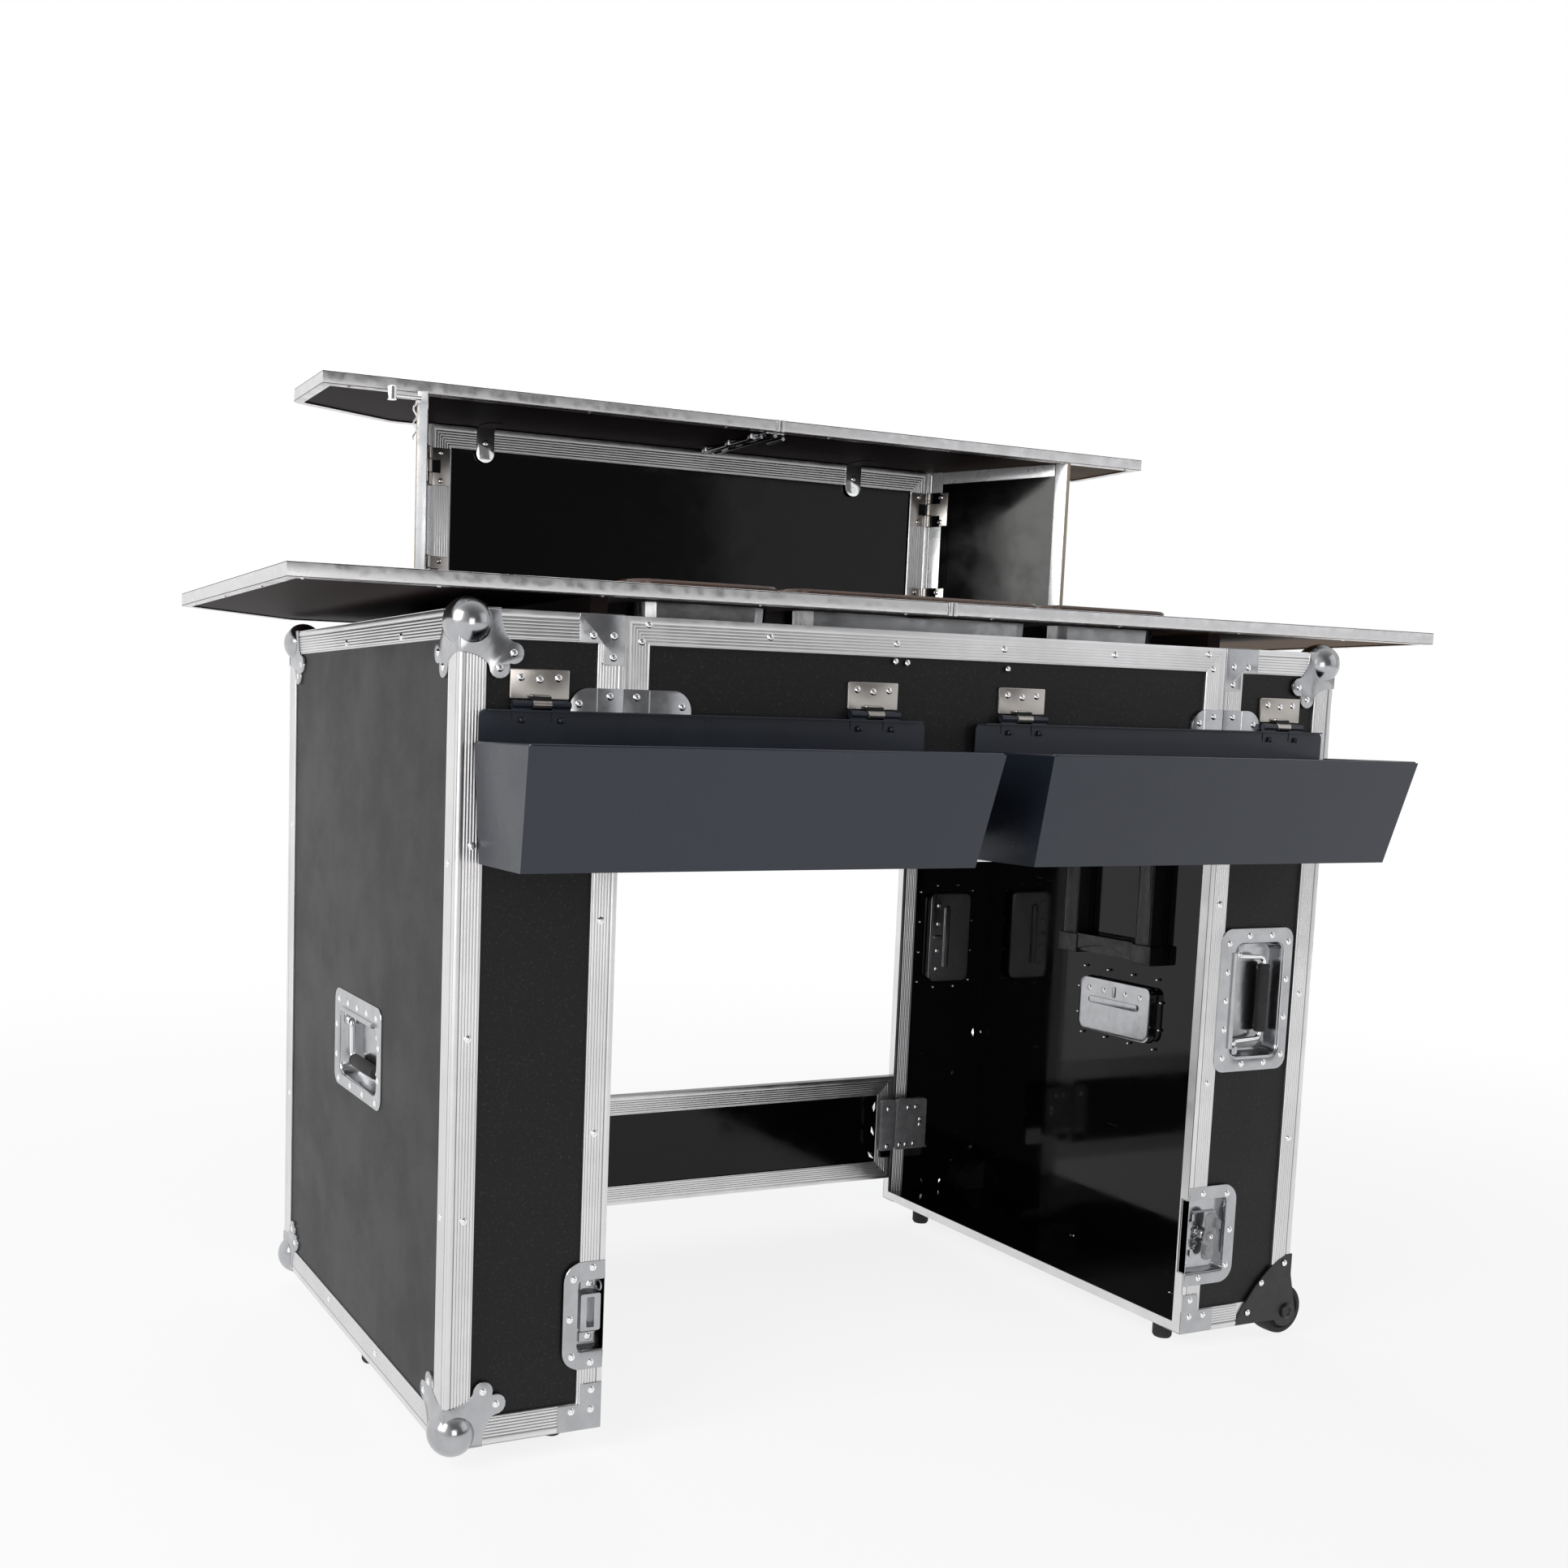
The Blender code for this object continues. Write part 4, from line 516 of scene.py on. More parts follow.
def add_angle(shape, start, end, first, second):
    """Ribbed angle over an edge: the profile of two legs, carried along the straight edge from start to end.

    first and second point from the edge into its two faces; each leg's height is measured against the other."""
    first, second = np.array(first, float), np.array(second, float)
    leg = leg_profile()
    one = leg[:, :1] * first - leg[:, 1:] * second
    two = leg[:, :1] * second - leg[:, 1:] * first
    nose = -0.0006 * (first + second)[None]
    inside = 0.0003 * (first + second)[None]
    profile = np.concatenate([one[::-1], nose, two, inside])
    ends = np.stack([profile + np.array(start, float), profile + np.array(end, float)])
    deep = groove_depths(leg)
    return shape.loft(ends, depths=np.concatenate([deep[::-1], [0.0], deep, [0.0]]))


def groove_depths(leg):
    """1 at the bottom of a groove and 0 on a ridge, for each row of the profile: the mask of painted groove
    shade.
    """
    return np.clip((0.00056 - leg[:, 1]) / 0.00034, 0.0, 1.0) * (leg[:, 0] > 0.004) * (leg[:, 0] < 0.0285)


def add_flat_strip(shape, start, end, across, out, width=LEG):
    """Ribbed flat strip: one leg's profile from the joint edge inwards, carried from start to end."""
    across, out = np.array(across, float), np.array(out, float)
    leg = leg_profile()
    rows = leg[:, :1] * (width / LEG) * across + leg[:, 1:] * out
    closing = np.array([-0.0003 * out])
    profile = np.concatenate([rows, closing])
    ends = np.stack([profile + np.array(start, float), profile + np.array(end, float)])
    return shape.loft(ends, depths=np.append(groove_depths(leg), 0.0))


def moved(face, a=0.0, b=0.0, out=0.0, turn=0.0):
    """Axes of a face moved to (a, b, out) and turned about the outward axis by an angle in degrees."""
    origin, along, up, outward = axes(face)
    c, s = math.cos(math.radians(turn)), math.sin(math.radians(turn))
    return origin + a * along + b * up + out * outward, c * along + s * up, c * up - s * along, outward


def rounded(width, height, radius, steps=6):
    """Rounded rectangle about (0, 0): quarter circles r (cos t, sin t), one at each corner in turn."""
    radius = min(radius, width / 2, height / 2)
    t = np.linspace(0.0, math.pi / 2, steps + 1)
    parts = []
    for k, (x, y) in enumerate(((1, 1), (-1, 1), (-1, -1), (1, -1))):
        angle = t + k * math.pi / 2
        parts.append(np.stack([x * (width / 2 - radius) + radius * np.cos(angle),
                               y * (height / 2 - radius) + radius * np.sin(angle)], axis=-1))
    return np.concatenate(parts)


def drawn_in(outline, amount):
    """Outline moved inwards: each point goes along the mean of the normals of its two edges."""
    outline = np.asarray(outline, float)
    edge = np.roll(outline, -1, axis=0) - outline
    area = np.sum(outline[:, 0] * np.roll(outline[:, 1], -1) - np.roll(outline[:, 0], -1) * outline[:, 1])
    normal = np.stack([-edge[:, 1], edge[:, 0]], axis=-1) * np.sign(area)
    normal /= np.maximum(np.linalg.norm(normal, axis=1, keepdims=True), 1e-9)
    mean = normal + np.roll(normal, 1, axis=0)
    mean /= np.maximum(np.linalg.norm(mean, axis=1, keepdims=True), 1e-9)
    reach = np.maximum(np.sum(mean * normal, axis=1, keepdims=True), 0.5)
    return outline + amount * mean / reach


def raised(outline, out):
    """Outline points with their height over the face."""
    return np.column_stack([outline, np.full(len(outline), out)])


def add_plate(shape, at, outline, low, high, edge=0.0004):
    """Plate with a soft upper edge: the outline from low to high, drawn in at the top like a quarter round."""
    levels = [(low, 0.0), (high - edge, 0.0), (high - 0.3 * edge, 0.3 * edge), (high, edge)]
    rings = [on_face(at, raised(drawn_in(outline, inset), out)) for out, inset in levels]
    return shape.loft(rings)


def add_layers(shape, at, layers, steps=6):
    """Skin through rounded rectangles given as (width, height, corner, out, shift along b)."""
    return shape.loft([on_face(at, raised(rounded(w, h, r, steps) + (0.0, shift), out))
                       for w, h, r, out, shift in layers])


def add_ball(shape, centre, radius, steps=32, levels=17):
    """Sphere from pole to pole: rings of radius R sin t at height R cos t, poles closed with a tiny face."""
    t = np.linspace(0.03, math.pi - 0.03, levels)
    rings = turned_points(np.stack([radius * np.sin(t), -radius * np.cos(t)], axis=-1), steps)
    return shape.loft(rings + np.asarray(centre, float))


def add_bar(shape, path, radius, steps=10):
    """Round bar along world points: rings r (side cos t + up sin t), square to the path, with least twist."""
    path = np.asarray(path, float)
    radius = np.broadcast_to(np.asarray(radius, float), (len(path),))
    ahead = np.gradient(path, axis=0)
    ahead /= np.linalg.norm(ahead, axis=1, keepdims=True)
    side = np.cross(ahead[0], (0.0, 0.0, 1.0) if abs(ahead[0][2]) < 0.9 else (1.0, 0.0, 0.0))
    angle = 2 * math.pi * np.arange(steps) / steps
    rings = []
    for point, forward, r in zip(path, ahead, radius):
        side = side - forward * side.dot(forward)
        side /= np.linalg.norm(side)
        up = np.cross(forward, side)
        rings.append(point + r * (np.cos(angle)[:, None] * side + np.sin(angle)[:, None] * up))
    return shape.loft(rings)


def bent(points, radius, steps=5):
    """Path of straight runs, each inner corner rounded by a quadratic curve that starts `radius` before it."""
    points = np.asarray(points, float)
    path = [points[0]]
    for before, here, after in zip(points, points[1:], points[2:]):
        a = here + (before - here) * min(0.45, radius / np.linalg.norm(before - here))
        b = here + (after - here) * min(0.45, radius / np.linalg.norm(after - here))
        t = np.linspace(0.0, 1.0, steps)[:, None]
        path.extend((1 - t) ** 2 * a + 2 * t * (1 - t) * here + t * t * b)
    path.append(points[-1])
    return np.array(path)


def add_screws(shape, face, spots, out=0.0, radius=0.0036):
    """Countersunk screws: a low dome with a cross-like dent, made as a turned head with a six-sided dent."""
    profile = [(radius, -0.0004), (radius, 0.0002), (0.75 * radius, 0.0009), (0.42 * radius, 0.0011),
               (0.30 * radius, 0.0002)]
    for a, b in spots:
        turned(shape, profile, moved(face, a, b, out), 12)


def add_frame_ribs(shape, face, low, high, out=0.0):
    """Mitred ribbed strips round a rectangle: each profile row is the rectangle drawn in by its distance."""
    (a0, b0), (a1, b1) = low, high
    rows = np.vstack([leg_profile(), [(LEG - 0.0003, -0.0004), (0.0003, -0.0004)]])
    rings = [on_face(face, [(a0 + d, b0 + d, out + h), (a1 - d, b0 + d, out + h), (a1 - d, b1 - d, out + h),
                            (a0 + d, b1 - d, out + h)]) for d, h in rows]
    return shape.ring(rings)


class Step(Operator):
    """Common part of the operators: one run makes its pieces or raises."""
    bl_options = {"REGISTER", "UNDO"}

    def execute(self, context):
        self.make()
        return {"FINISHED"}


def case_edges(side):
    """Edges of one case half: start, end and the two directions into its faces."""
    outer, joint = side * SIDE, side * INNER
    into_x = (-side, 0, 0)
    levels = (BASE, (0, 0, 1)), (TOP, (0, 0, -1))
    rows = []
    for y, into_y in ((FRONT, (0, 1, 0)), (BACK, (0, -1, 0))):
        rows.append(((outer, y, BASE), (outer, y, TOP), into_x, into_y))
        rows += [((outer, y, z), (joint, y, z), into_y, into_z) for z, into_z in levels]
    return rows + [((outer, FRONT, z), (outer, BACK, z), into_x, into_z) for z, into_z in levels]


def clear_of_wheels(start, end):
    """Ends of an edge of the right half, cut back where it would run into a wheel housing."""
    start, end = np.array(start), np.array(end)
    if start[2] > BASE:
        return start, end
    if end[2] > BASE:
        return start + (0, 0, HOUSING_HIGH), end
    if start[0] == end[0]:
        return start + (0, HOUSING_DEEP, 0), end - (0, HOUSING_DEEP, 0)
    return start - (HOUSING_WIDE, 0, 0), end


def joint_strips(y, side):
    """Height ranges of the closing strip at one corner of the open side, with a gap at a latch's cup."""
    if y == BACK and side < 0:
        return [(BASE, TOP)]
    cup = KEEPER_CUP if side < 0 else LATCH_CUP
    gap, middle = cup[1] / 2 + 0.0015, LATCH_Z if y == FRONT else BACK_LATCH_Z
    return [(BASE, middle - gap), (middle + gap, TOP)]


class BARCASE_OT_extrusions(Step):
    """Ribbed aluminium angles on the edges of both case halves, and the closing strips of their open sides"""
    bl_idname = "barcase.extrusions"
    bl_label = "Edge extrusions"

    def make(self):
        for label, side in SIDES:
            shape = Shape()
            for start, end, first, second in case_edges(side):
                if side > 0:
                    start, end = clear_of_wheels(start, end)
                add_angle(shape, start, end, first, second)
            joint, inwards = side * INNER, (side, 0, 0)
            for y, out in ((FRONT, (0, -1, 0)), (BACK, (0, 1, 0))):
                for low, high in joint_strips(y, side):
                    add_flat_strip(shape, (joint, y, low), (joint, y, high), inwards, out)
            for z, out in ((BASE, (0, 0, -1)), (TOP, (0, 0, 1))):
                add_flat_strip(shape, (joint, FRONT, z), (joint, BACK, z), inwards, out)
            piece(f"{label}_edge_ribs", shape, "aluminium")


def corner_leg(steps=9):
    """Outline of one pressed leg of a ball corner: both edges, then hollow curves to two round lobes."""
    edge, tip = 0.0015, 0.0115
    hollow = np.array([(0.0440, -edge), (0.0446, 0.0060), (0.0458, 0.0130), (0.0480, 0.0200),
                       (0.0512, 0.0262), (0.0550, 0.0308)])
    lobes = []
    for (a, b), first, last in (((0.0587, 0.0437), -92, 110), ((0.0437, 0.0587), -20, 182)):
        turn = np.radians(np.linspace(first, last, steps))
        lobes.append(np.stack([a + tip * np.cos(turn), b + tip * np.sin(turn)], axis=-1))
    return np.concatenate([[(-edge, -edge)], hollow, *lobes, hollow[::-1, ::-1]])


class BARCASE_OT_corners(Step):
    """Ball corners: a domed ball on three pressed legs, each with two rivets and a rounded arris"""
    bl_idname = "barcase.corners"
    bl_label = "Ball corners"

    def make(self):
        radius, inset, plate = 0.0262, 0.0137, 0.0016
        outline = corner_leg()
        for name in sorted(n for n in frame["nodes"] if "_ball_" in n):
            side = -1 if name.startswith("left") else 1
            deep = -1 if "_front_" in name else 1
            up = 1 if name.endswith("_top") else -1
            corner = np.array((side * SIDE, FRONT if deep < 0 else BACK, TOP if up > 0 else BASE))
            inward = np.array((-side, -deep, -up), float)
            shape = Shape()
            add_ball(shape, corner + inset * inward, radius)
            rivets = Shape()
            for axis in range(3):
                first, second = [k for k in range(3) if k != axis]
                ways = np.diag(inward)
                at = (corner, ways[first], ways[second], -ways[axis])
                add_plate(shape, at, outline, -0.0016, plate, 0.0006)
                add_rivets(rivets, at, ((0.0590, 0.0437), (0.0437, 0.0590)), plate - 0.0001)
                edge = [corner - 0.0001 * inward + ways[axis] * d for d in (0.010, 0.0438)]
                add_bar(shape, edge, 0.0017, 12)
            piece(f"{name}_dome", shape, "zinc", stand_for=(name,))
            piece(f"{name}_rivets", rivets, "bright_steel")


def handle_axes():
    """Names and axes of the recessed handles: along the grip, from grip to pivot, outward."""
    middle = (FRONT + BACK) / 2
    skin, slim_x = SIDE - 0.0018, SIDE - 0.098
    slim_along = (0, 0, 1), (-1, 0, 0)
    return (("left_handle", "bail_left", ((-skin, middle, HANDLE_Z), (0, -1, 0), (0, 0, 1), (-1, 0, 0))),
            ("right_handle", "bail_right", ((skin, middle, HANDLE_Z), (0, 1, 0), (0, 0, 1), (1, 0, 0))),
            ("right_slim_front", "bail_front",
             ((slim_x, FRONT - 0.0003, SLIM_HANDLE_Z), *slim_along, (0, -1, 0))),
            ("right_slim_back", "bail_back",
             ((slim_x, BACK + 0.0003, SLIM_HANDLE_Z), *slim_along, (0, 1, 0))))


def add_handle_dish(shape, at):
    """Pressed dish from its underside over the flange and the soft mouth down into the cup, and two lugs."""
    flange = [(0.186, 0.122, 0.016, 0.0002, 0.0), (0.186, 0.122, 0.016, 0.0009, 0.0),
              (0.1852, 0.1212, 0.0156, 0.0014, 0.0)]
    under = [(0.1424, 0.0764, 0.012, -0.0212), (0.1484, 0.0824, 0.013, 0.0002)]
    cup = [(0.1556, 0.0896, 0.0175, 0.0014), (0.1514, 0.0854, 0.0155, 0.0008),
           (0.1478, 0.0818, 0.014, -0.0012), (0.1462, 0.0802, 0.013, -0.0040),
           (0.1420, 0.0760, 0.012, -0.0165), (0.1396, 0.0736, 0.011, -0.0190), (0.1340, 0.0680, 0.010, -0.0200)]
    add_layers(shape, at, [(*row, CUP_LOW) for row in under] + flange + [(*row, CUP_LOW) for row in cup], 8)
    for end in (-1, 1):
        lug = moved(at, end * 0.0667, BAIL_PIVOT, -0.0205)
        add_layers(shape, lug, [(0.0125, 0.011, 0.0015, 0.0, 0.0), (0.0125, 0.011, 0.0015, 0.0140, 0.0),
                                (0.0115, 0.009, 0.0030, 0.0162, 0.0), (0.0105, 0.004, 0.0018, 0.0168, 0.0)])
    add_bar(shape, on_face(at, [(-0.0620, 0.0370, 0.0012), (0.0620, 0.0370, 0.0012)]), 0.0034, 14)


def add_bail_arms(shape, at):
    """Bent rod of a bail and the coil springs round its two ends: each turn is (r cos t, r sin t)."""
    path = bent([(-0.0650, 0.0), (-0.0555, 0.0), (-0.0530, -0.0460), (0.0530, -0.0460), (0.0555, 0.0),
                 (0.0650, 0.0)], 0.008)
    add_bar(shape, on_face(at, raised(path, BAIL_OUT) + (0, BAIL_PIVOT, 0)), 0.0031, 12)
    spring = moved(at, 0.0, BAIL_PIVOT, BAIL_OUT)
    t = np.linspace(0.0, 1.0, 49)
    turns = 2 * math.pi * 3.5 * t
    for end in (-1, 1):
        coil = np.column_stack([end * (0.0555 + 0.0042 * t), 0.0047 * np.cos(turns), 0.0047 * np.sin(turns)])
        add_bar(shape, on_face(spring, coil), 0.0008, 6)


def add_bail_grip(shape, at):
    """Rubber sleeve with a collar at each end: radius by distance from its end, the same from both ends."""
    half = 0.0445
    collar = np.array([(0.0, 0.0052), (0.0008, 0.0070), (0.0030, 0.0076), (0.0050, 0.0076), (0.0060, 0.0070),
                       (0.0075, 0.0070), (0.0085, 0.0076)])
    along = np.concatenate([collar[:, 0] - half, [0.0], half - collar[::-1, 0]])
    girth = np.concatenate([collar[:, 1], [0.0079], collar[::-1, 1]])
    line = raised(np.column_stack([along, np.full(len(along), BAIL_PIVOT - 0.046)]), BAIL_OUT)
    add_bar(shape, on_face(at, line), girth, 20)


class BARCASE_OT_handles(Step):
    """Recessed handles: pressed dish with a soft mouth, lugs, sprung bail with a rubber grip, rivets"""
    bl_idname = "barcase.handles"
    bl_label = "Recessed handles"

    def make(self):
        upper = [(a, 0.0475) for a in (-0.074, -0.037, 0.0, 0.037, 0.074)]
        lower = [(a, -0.0532) for a in (-0.074, -0.0247, 0.0247, 0.074)]
        ends = [(a, b) for a in (-0.0832, 0.0832) for b in (-0.024, 0.014)]
        for name, body, at in handle_axes():
            dish, rivets, arms, grip = Shape(), Shape(), Shape(), Shape()
            add_handle_dish(dish, at)
            piece(f"{name}_pressing", dish, "zinc", stand_for=(f"{name}_dish",))
            add_rivets(rivets, at, upper + lower + ends, 0.0013)
            piece(f"{name}_rivets", rivets, "bright_steel")
            add_bail_arms(arms, at)
            piece(f"{name}_arms", arms, "bright_steel", body, (f"{name}_bail",))
            add_bail_grip(grip, at)
            piece(f"{name}_grip", grip, "rubber", body)


def half_round(width, height, corner=0.022, steps=8):
    """D-shaped outline: straight at the joint, a = 0, and round at the two far corners."""
    t = np.linspace(0.0, math.pi / 2, steps + 1)
    low = np.stack([width - corner + corner * np.sin(t), -height / 2 + corner - corner * np.cos(t)], axis=-1)
    high = np.stack([width - corner + corner * np.cos(t), height / 2 - corner + corner * np.sin(t)], axis=-1)
    return np.concatenate([[(0.0004, -height / 2)], low, high, [(0.0004, height / 2)]])


def add_half_dish(shape, at, flange, cup, depth=0.0092):
    """Half dish of a latch: D-shaped flange with a bead and a cup that is open towards the joint, of sheet."""
    width, height = cup
    outline = half_round(*flange)
    inner = half_round(width, height, 0.004)
    under = half_round(width + 0.0012, height + 0.0024, 0.005)
    mouth = half_round(width + 0.0030, height + 0.0060, 0.007)
    throat = half_round(width + 0.0008, height + 0.0016, 0.005)
    rows = [(under, -depth - 0.0012), (under, 0.0002), (outline, 0.0002), (outline, 0.0010),
            (drawn_in(outline, 0.0005), 0.0015), (mouth, 0.0015), (throat, 0.0006), (inner, -0.0012),
            (inner, -depth)]
    return shape.loft(on_face(at, np.array([raised(line, out) for line, out in rows])))


def add_ring_block(shape, at, outer, inner, low, high, edge=0.0005):
    """Raised frame: from the foot of the outer rectangle over its soft rim and down inside the inner one."""
    rows = [(outer, 0.0, low), (outer, 0.0, high - edge), (outer, edge, high), (inner, -edge, high),
            (inner, 0.0, high - edge), (inner, 0.0, low)]
    rings = []
    for (w, h, r), inset, out in rows:
        rings.append(on_face(at, raised(rounded(w - 2 * inset, h - 2 * inset, r, 3), out)))
    return shape.ring(rings)


def make_keeper(rivets, screws):
    """Keeper of the left half: half dish, raised block with a slot, two bosses, a wire loop and a fold."""
    at = ((-INNER, FRONT, LATCH_Z), (-1, 0, 0), (0, 0, 1), (0, -1, 0))
    shape = add_half_dish(Shape(), at, KEEPER_FLANGE, KEEPER_CUP)
    block = moved(at, 0.0155, 0.0025)
    add_ring_block(shape, block, (0.0240, 0.0420, 0.0020), (0.0088, 0.0330, 0.0010), CUP_FLOOR, 0.0)
    for b in (0.0320, -0.0270):
        add_plate(shape, moved(at, 0.0155, b), rounded(0.0210, 0.0125, 0.0015), CUP_FLOOR, -0.0060, 0.0006)
    t = np.linspace(0.0, 2 * math.pi, 25)
    loop = np.column_stack([0.0062 + 0 * t, 0.0320 + 0.0058 * np.cos(t), -0.0020 + 0.0058 * np.sin(t)])
    add_bar(shape, on_face(at, loop), 0.0011, 8)
    for b0, b1 in ((0.0400, 0.0600), (-0.0600, -0.0400)):
        add_bar(shape, on_face(at, [(0.0315, b0, 0.0013), (0.0315, b1, 0.0013)]), 0.0008, 6)
    piece("left_keeper_pressing", shape, "zinc", stand_for=("left_latch_keeper",))
    spots = ((0.015, 0.0532), (0.0375, 0.0418), (0.0410, -0.0028), (0.0375, -0.0450), (0.015, -0.0532))
    add_rivets(rivets, at, spots, 0.0014)
    add_screws(screws, at, ((0.0155, 0.0330), (0.0155, -0.0262)), -0.0060, 0.0042)


def make_twist_latch(rivets, screws):
    """Latch of the right half: half dish, base block, hook plate, turned hub, coil spring and wing."""
    at = ((INNER, FRONT, LATCH_Z), *TO_FRONT)
    shape = add_half_dish(Shape(), at, LATCH_FLANGE, LATCH_CUP)
    add_plate(shape, moved(at, WING_PIVOT), rounded(0.0420, 0.0600, 0.0040), CUP_FLOOR, -0.0058, 0.0010)
    add_plate(shape, moved(at, 0.0108), rounded(0.0186, 0.0380, 0.0020), -0.0078, -0.0045, 0.0008)
    hub = [(0.0092, -0.0098), (0.0092, -0.0020), (0.0080, -0.0010), (0.0080, 0.0022), (0.0074, 0.0028),
           (0.0032, 0.0028)]
    turned(shape, hub, moved(at, WING_PIVOT), 28)
    t = np.linspace(0.0, 1.0, 41)
    coil = np.column_stack([0.0180 + 0.0030 * np.cos(18 * t), 0.0120 - 0.030 * t,
                            -0.0030 + 0.0022 * np.sin(18 * t)])
    add_bar(shape, on_face(at, coil), 0.0008, 6)
    piece("right_latch_pressing", shape, "zinc", stand_for=("right_latch_base",))
    spots = ((0.0230, 0.0560), (0.0640, 0.0530), (0.0728, 0.0040), (0.0700, -0.0430), (0.0240, -0.0560))
    add_rivets(rivets, at, spots, 0.0014)
    add_screws(screws, at, ((0.0090, 0.0380), (0.0090, -0.0380)), -0.0090, 0.0044)
    make_wing(at)
    add_screws(screws, at, ((WING_PIVOT, 0.0),), 0.0078, 0.0030)


def make_wing(at):
    """Turning wing: a waisted plate, the same when turned by half a turn, with two grip ridges and a boss."""
    wing, half = Shape(), 0.032
    side = np.array([(0.0095, 0.0), (0.0100, 0.36), (0.0118, 0.70), (0.0090, 0.94), (0.0010, 1.0),
                     (-0.0066, 0.90), (-0.0086, 0.62), (-0.0076, 0.30)]) * (1.0, half)
    outline = bent(np.vstack([side, -side, side[:1]]), 0.006, 4)[1:]
    add_plate(wing, moved(at, WING_PIVOT), outline, 0.0031, 0.0055, 0.0007)
    for end in (-1, 1):
        rise = moved(at, WING_PIVOT + end * 0.0100, end * 0.0165)
        add_layers(wing, rise, [(0.0026, 0.014, 0.0013, 0.0040, 0.0), (0.0026, 0.013, 0.0013, 0.0100, 0.0),
                                (0.0016, 0.011, 0.0008, 0.0118, 0.0)])
    boss = [(0.0062, 0.0040), (0.0062, 0.0068), (0.0052, 0.0078), (0.0026, 0.0080)]
    turned(wing, boss, moved(at, WING_PIVOT), 24)
    piece("right_latch_turning_wing", wing, "worn_plate", "latch_wing", ("right_latch_wing",))


def make_back_dish(rivets):
    """Half dish in the back of the right half, with a raised block in its cup."""
    at = ((INNER, BACK, BACK_LATCH_Z), *TO_BACK)
    shape = add_half_dish(Shape(), at, LATCH_FLANGE, LATCH_CUP)
    add_ring_block(shape, moved(at, 0.0250), (0.034, 0.050, 0.004), (0.012, 0.034, 0.002), CUP_FLOOR, -0.0030)
    piece("right_back_pressing", shape, "zinc", stand_for=("right_back_latch",))
    spots = ((0.0230, 0.0560), (0.0640, 0.0530), (0.0728, 0.0), (0.0640, -0.0530), (0.0230, -0.0560))
    add_rivets(rivets, at, spots, 0.0014)


def add_joining_plates(plates, rivets):
    """Round-ended plates over the front joints behind the trays: one leg on the half, one on the apron."""
    for side, widths in ((-1, (0.062, 0.081)), (1, (0.062, 0.049))):
        for toward, width in zip((1, -1), widths):
            at = ((side * INNER, FRONT, JOINING_Z), (side * toward, 0, 0), (0, 0, 1), (0, -1, 0))
            add_plate(plates, at, half_round(width, 0.130), -0.0016, 0.0019, 0.0006)
            add_bar(plates, on_face(at, [(0.0305, -0.0640, 0.0017), (0.0305, 0.0640, 0.0017)]), 0.0009, 6)
            ends = (0.0155, 0.0565), (width - 0.011, 0.0480)
            spots = [(a, b) for a, reach in ends for b in (reach, -reach)]
            add_rivets(rivets, at, spots, 0.0018)


def add_corner_plates(plates, rivets):
    """Flat L-shaped plates on the four corners of each open side, front and back."""
    corner = np.array([(0.0, 0.0), (0.052, 0.0), (0.052, 0.0295), (0.0270, 0.0295), (0.0255, 0.0310),
                       (0.0255, 0.0495), (0.0230, 0.0520), (0.0, 0.0520)])
    for y, out in ((FRONT, -1), (BACK, 1)):
        for side in (-1, 1):
            for z, up in ((TOP, -1), (BASE, 1)):
                at = ((side * (INNER + 0.0004), y, z), (side, 0, 0), (0, 0, up), (0, out, 0))
                add_plate(plates, at, corner, -0.0008, 0.0017, 0.0005)
                add_rivets(rivets, at, ((0.0360, 0.0220), (0.0125, 0.0220), (0.0125, 0.0440)), 0.0016)


class BARCASE_OT_latches(Step):
    """Latches at the joint: keeper, twist latch with its wing, back dish, joining plates and corner plates"""
    bl_idname = "barcase.latches"
    bl_label = "Latches"

    def make(self):
        rivets, screws, plates = Shape(), Shape(), Shape()
        make_keeper(rivets, screws)
        make_twist_latch(rivets, screws)
        make_back_dish(rivets)
        add_joining_plates(plates, rivets)
        add_corner_plates(plates, rivets)
        piece("joint_plates", plates, "zinc")
        piece("latch_rivets", rivets, "bright_steel")
        piece("latch_screws", screws, "bright_steel")


def riser_faces():
    """Inner face and length of each riser board; its axes start at the board's lower near corner."""
    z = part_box("riser_middle")[0].z
    y = RISER_WALL
    length = RISER_ENDS["right"] - RISER_ENDS["left"]
    faces = {"riser_middle": (((RISER_ENDS["left"], y, z), *TO_FRONT), length)}
    for label, side, splay in (("left", -1, 19.5), ("right", 1, 30.0)):
        turn = math.radians(splay)
        toward = np.array((side * math.sin(turn), -math.cos(turn), 0.0))
        out = np.array((-side * math.cos(turn), -math.sin(turn), 0.0))
        start = np.array((RISER_ENDS[label] + side * HINGE_OFF, y - HINGE_IN, z))
        start = start + HINGE_OFF * toward - HINGE_IN * out
        faces[f"riser_wing_{label}"] = ((start, toward, (0, 0, 1), out), WING_LENGTH)
    return faces


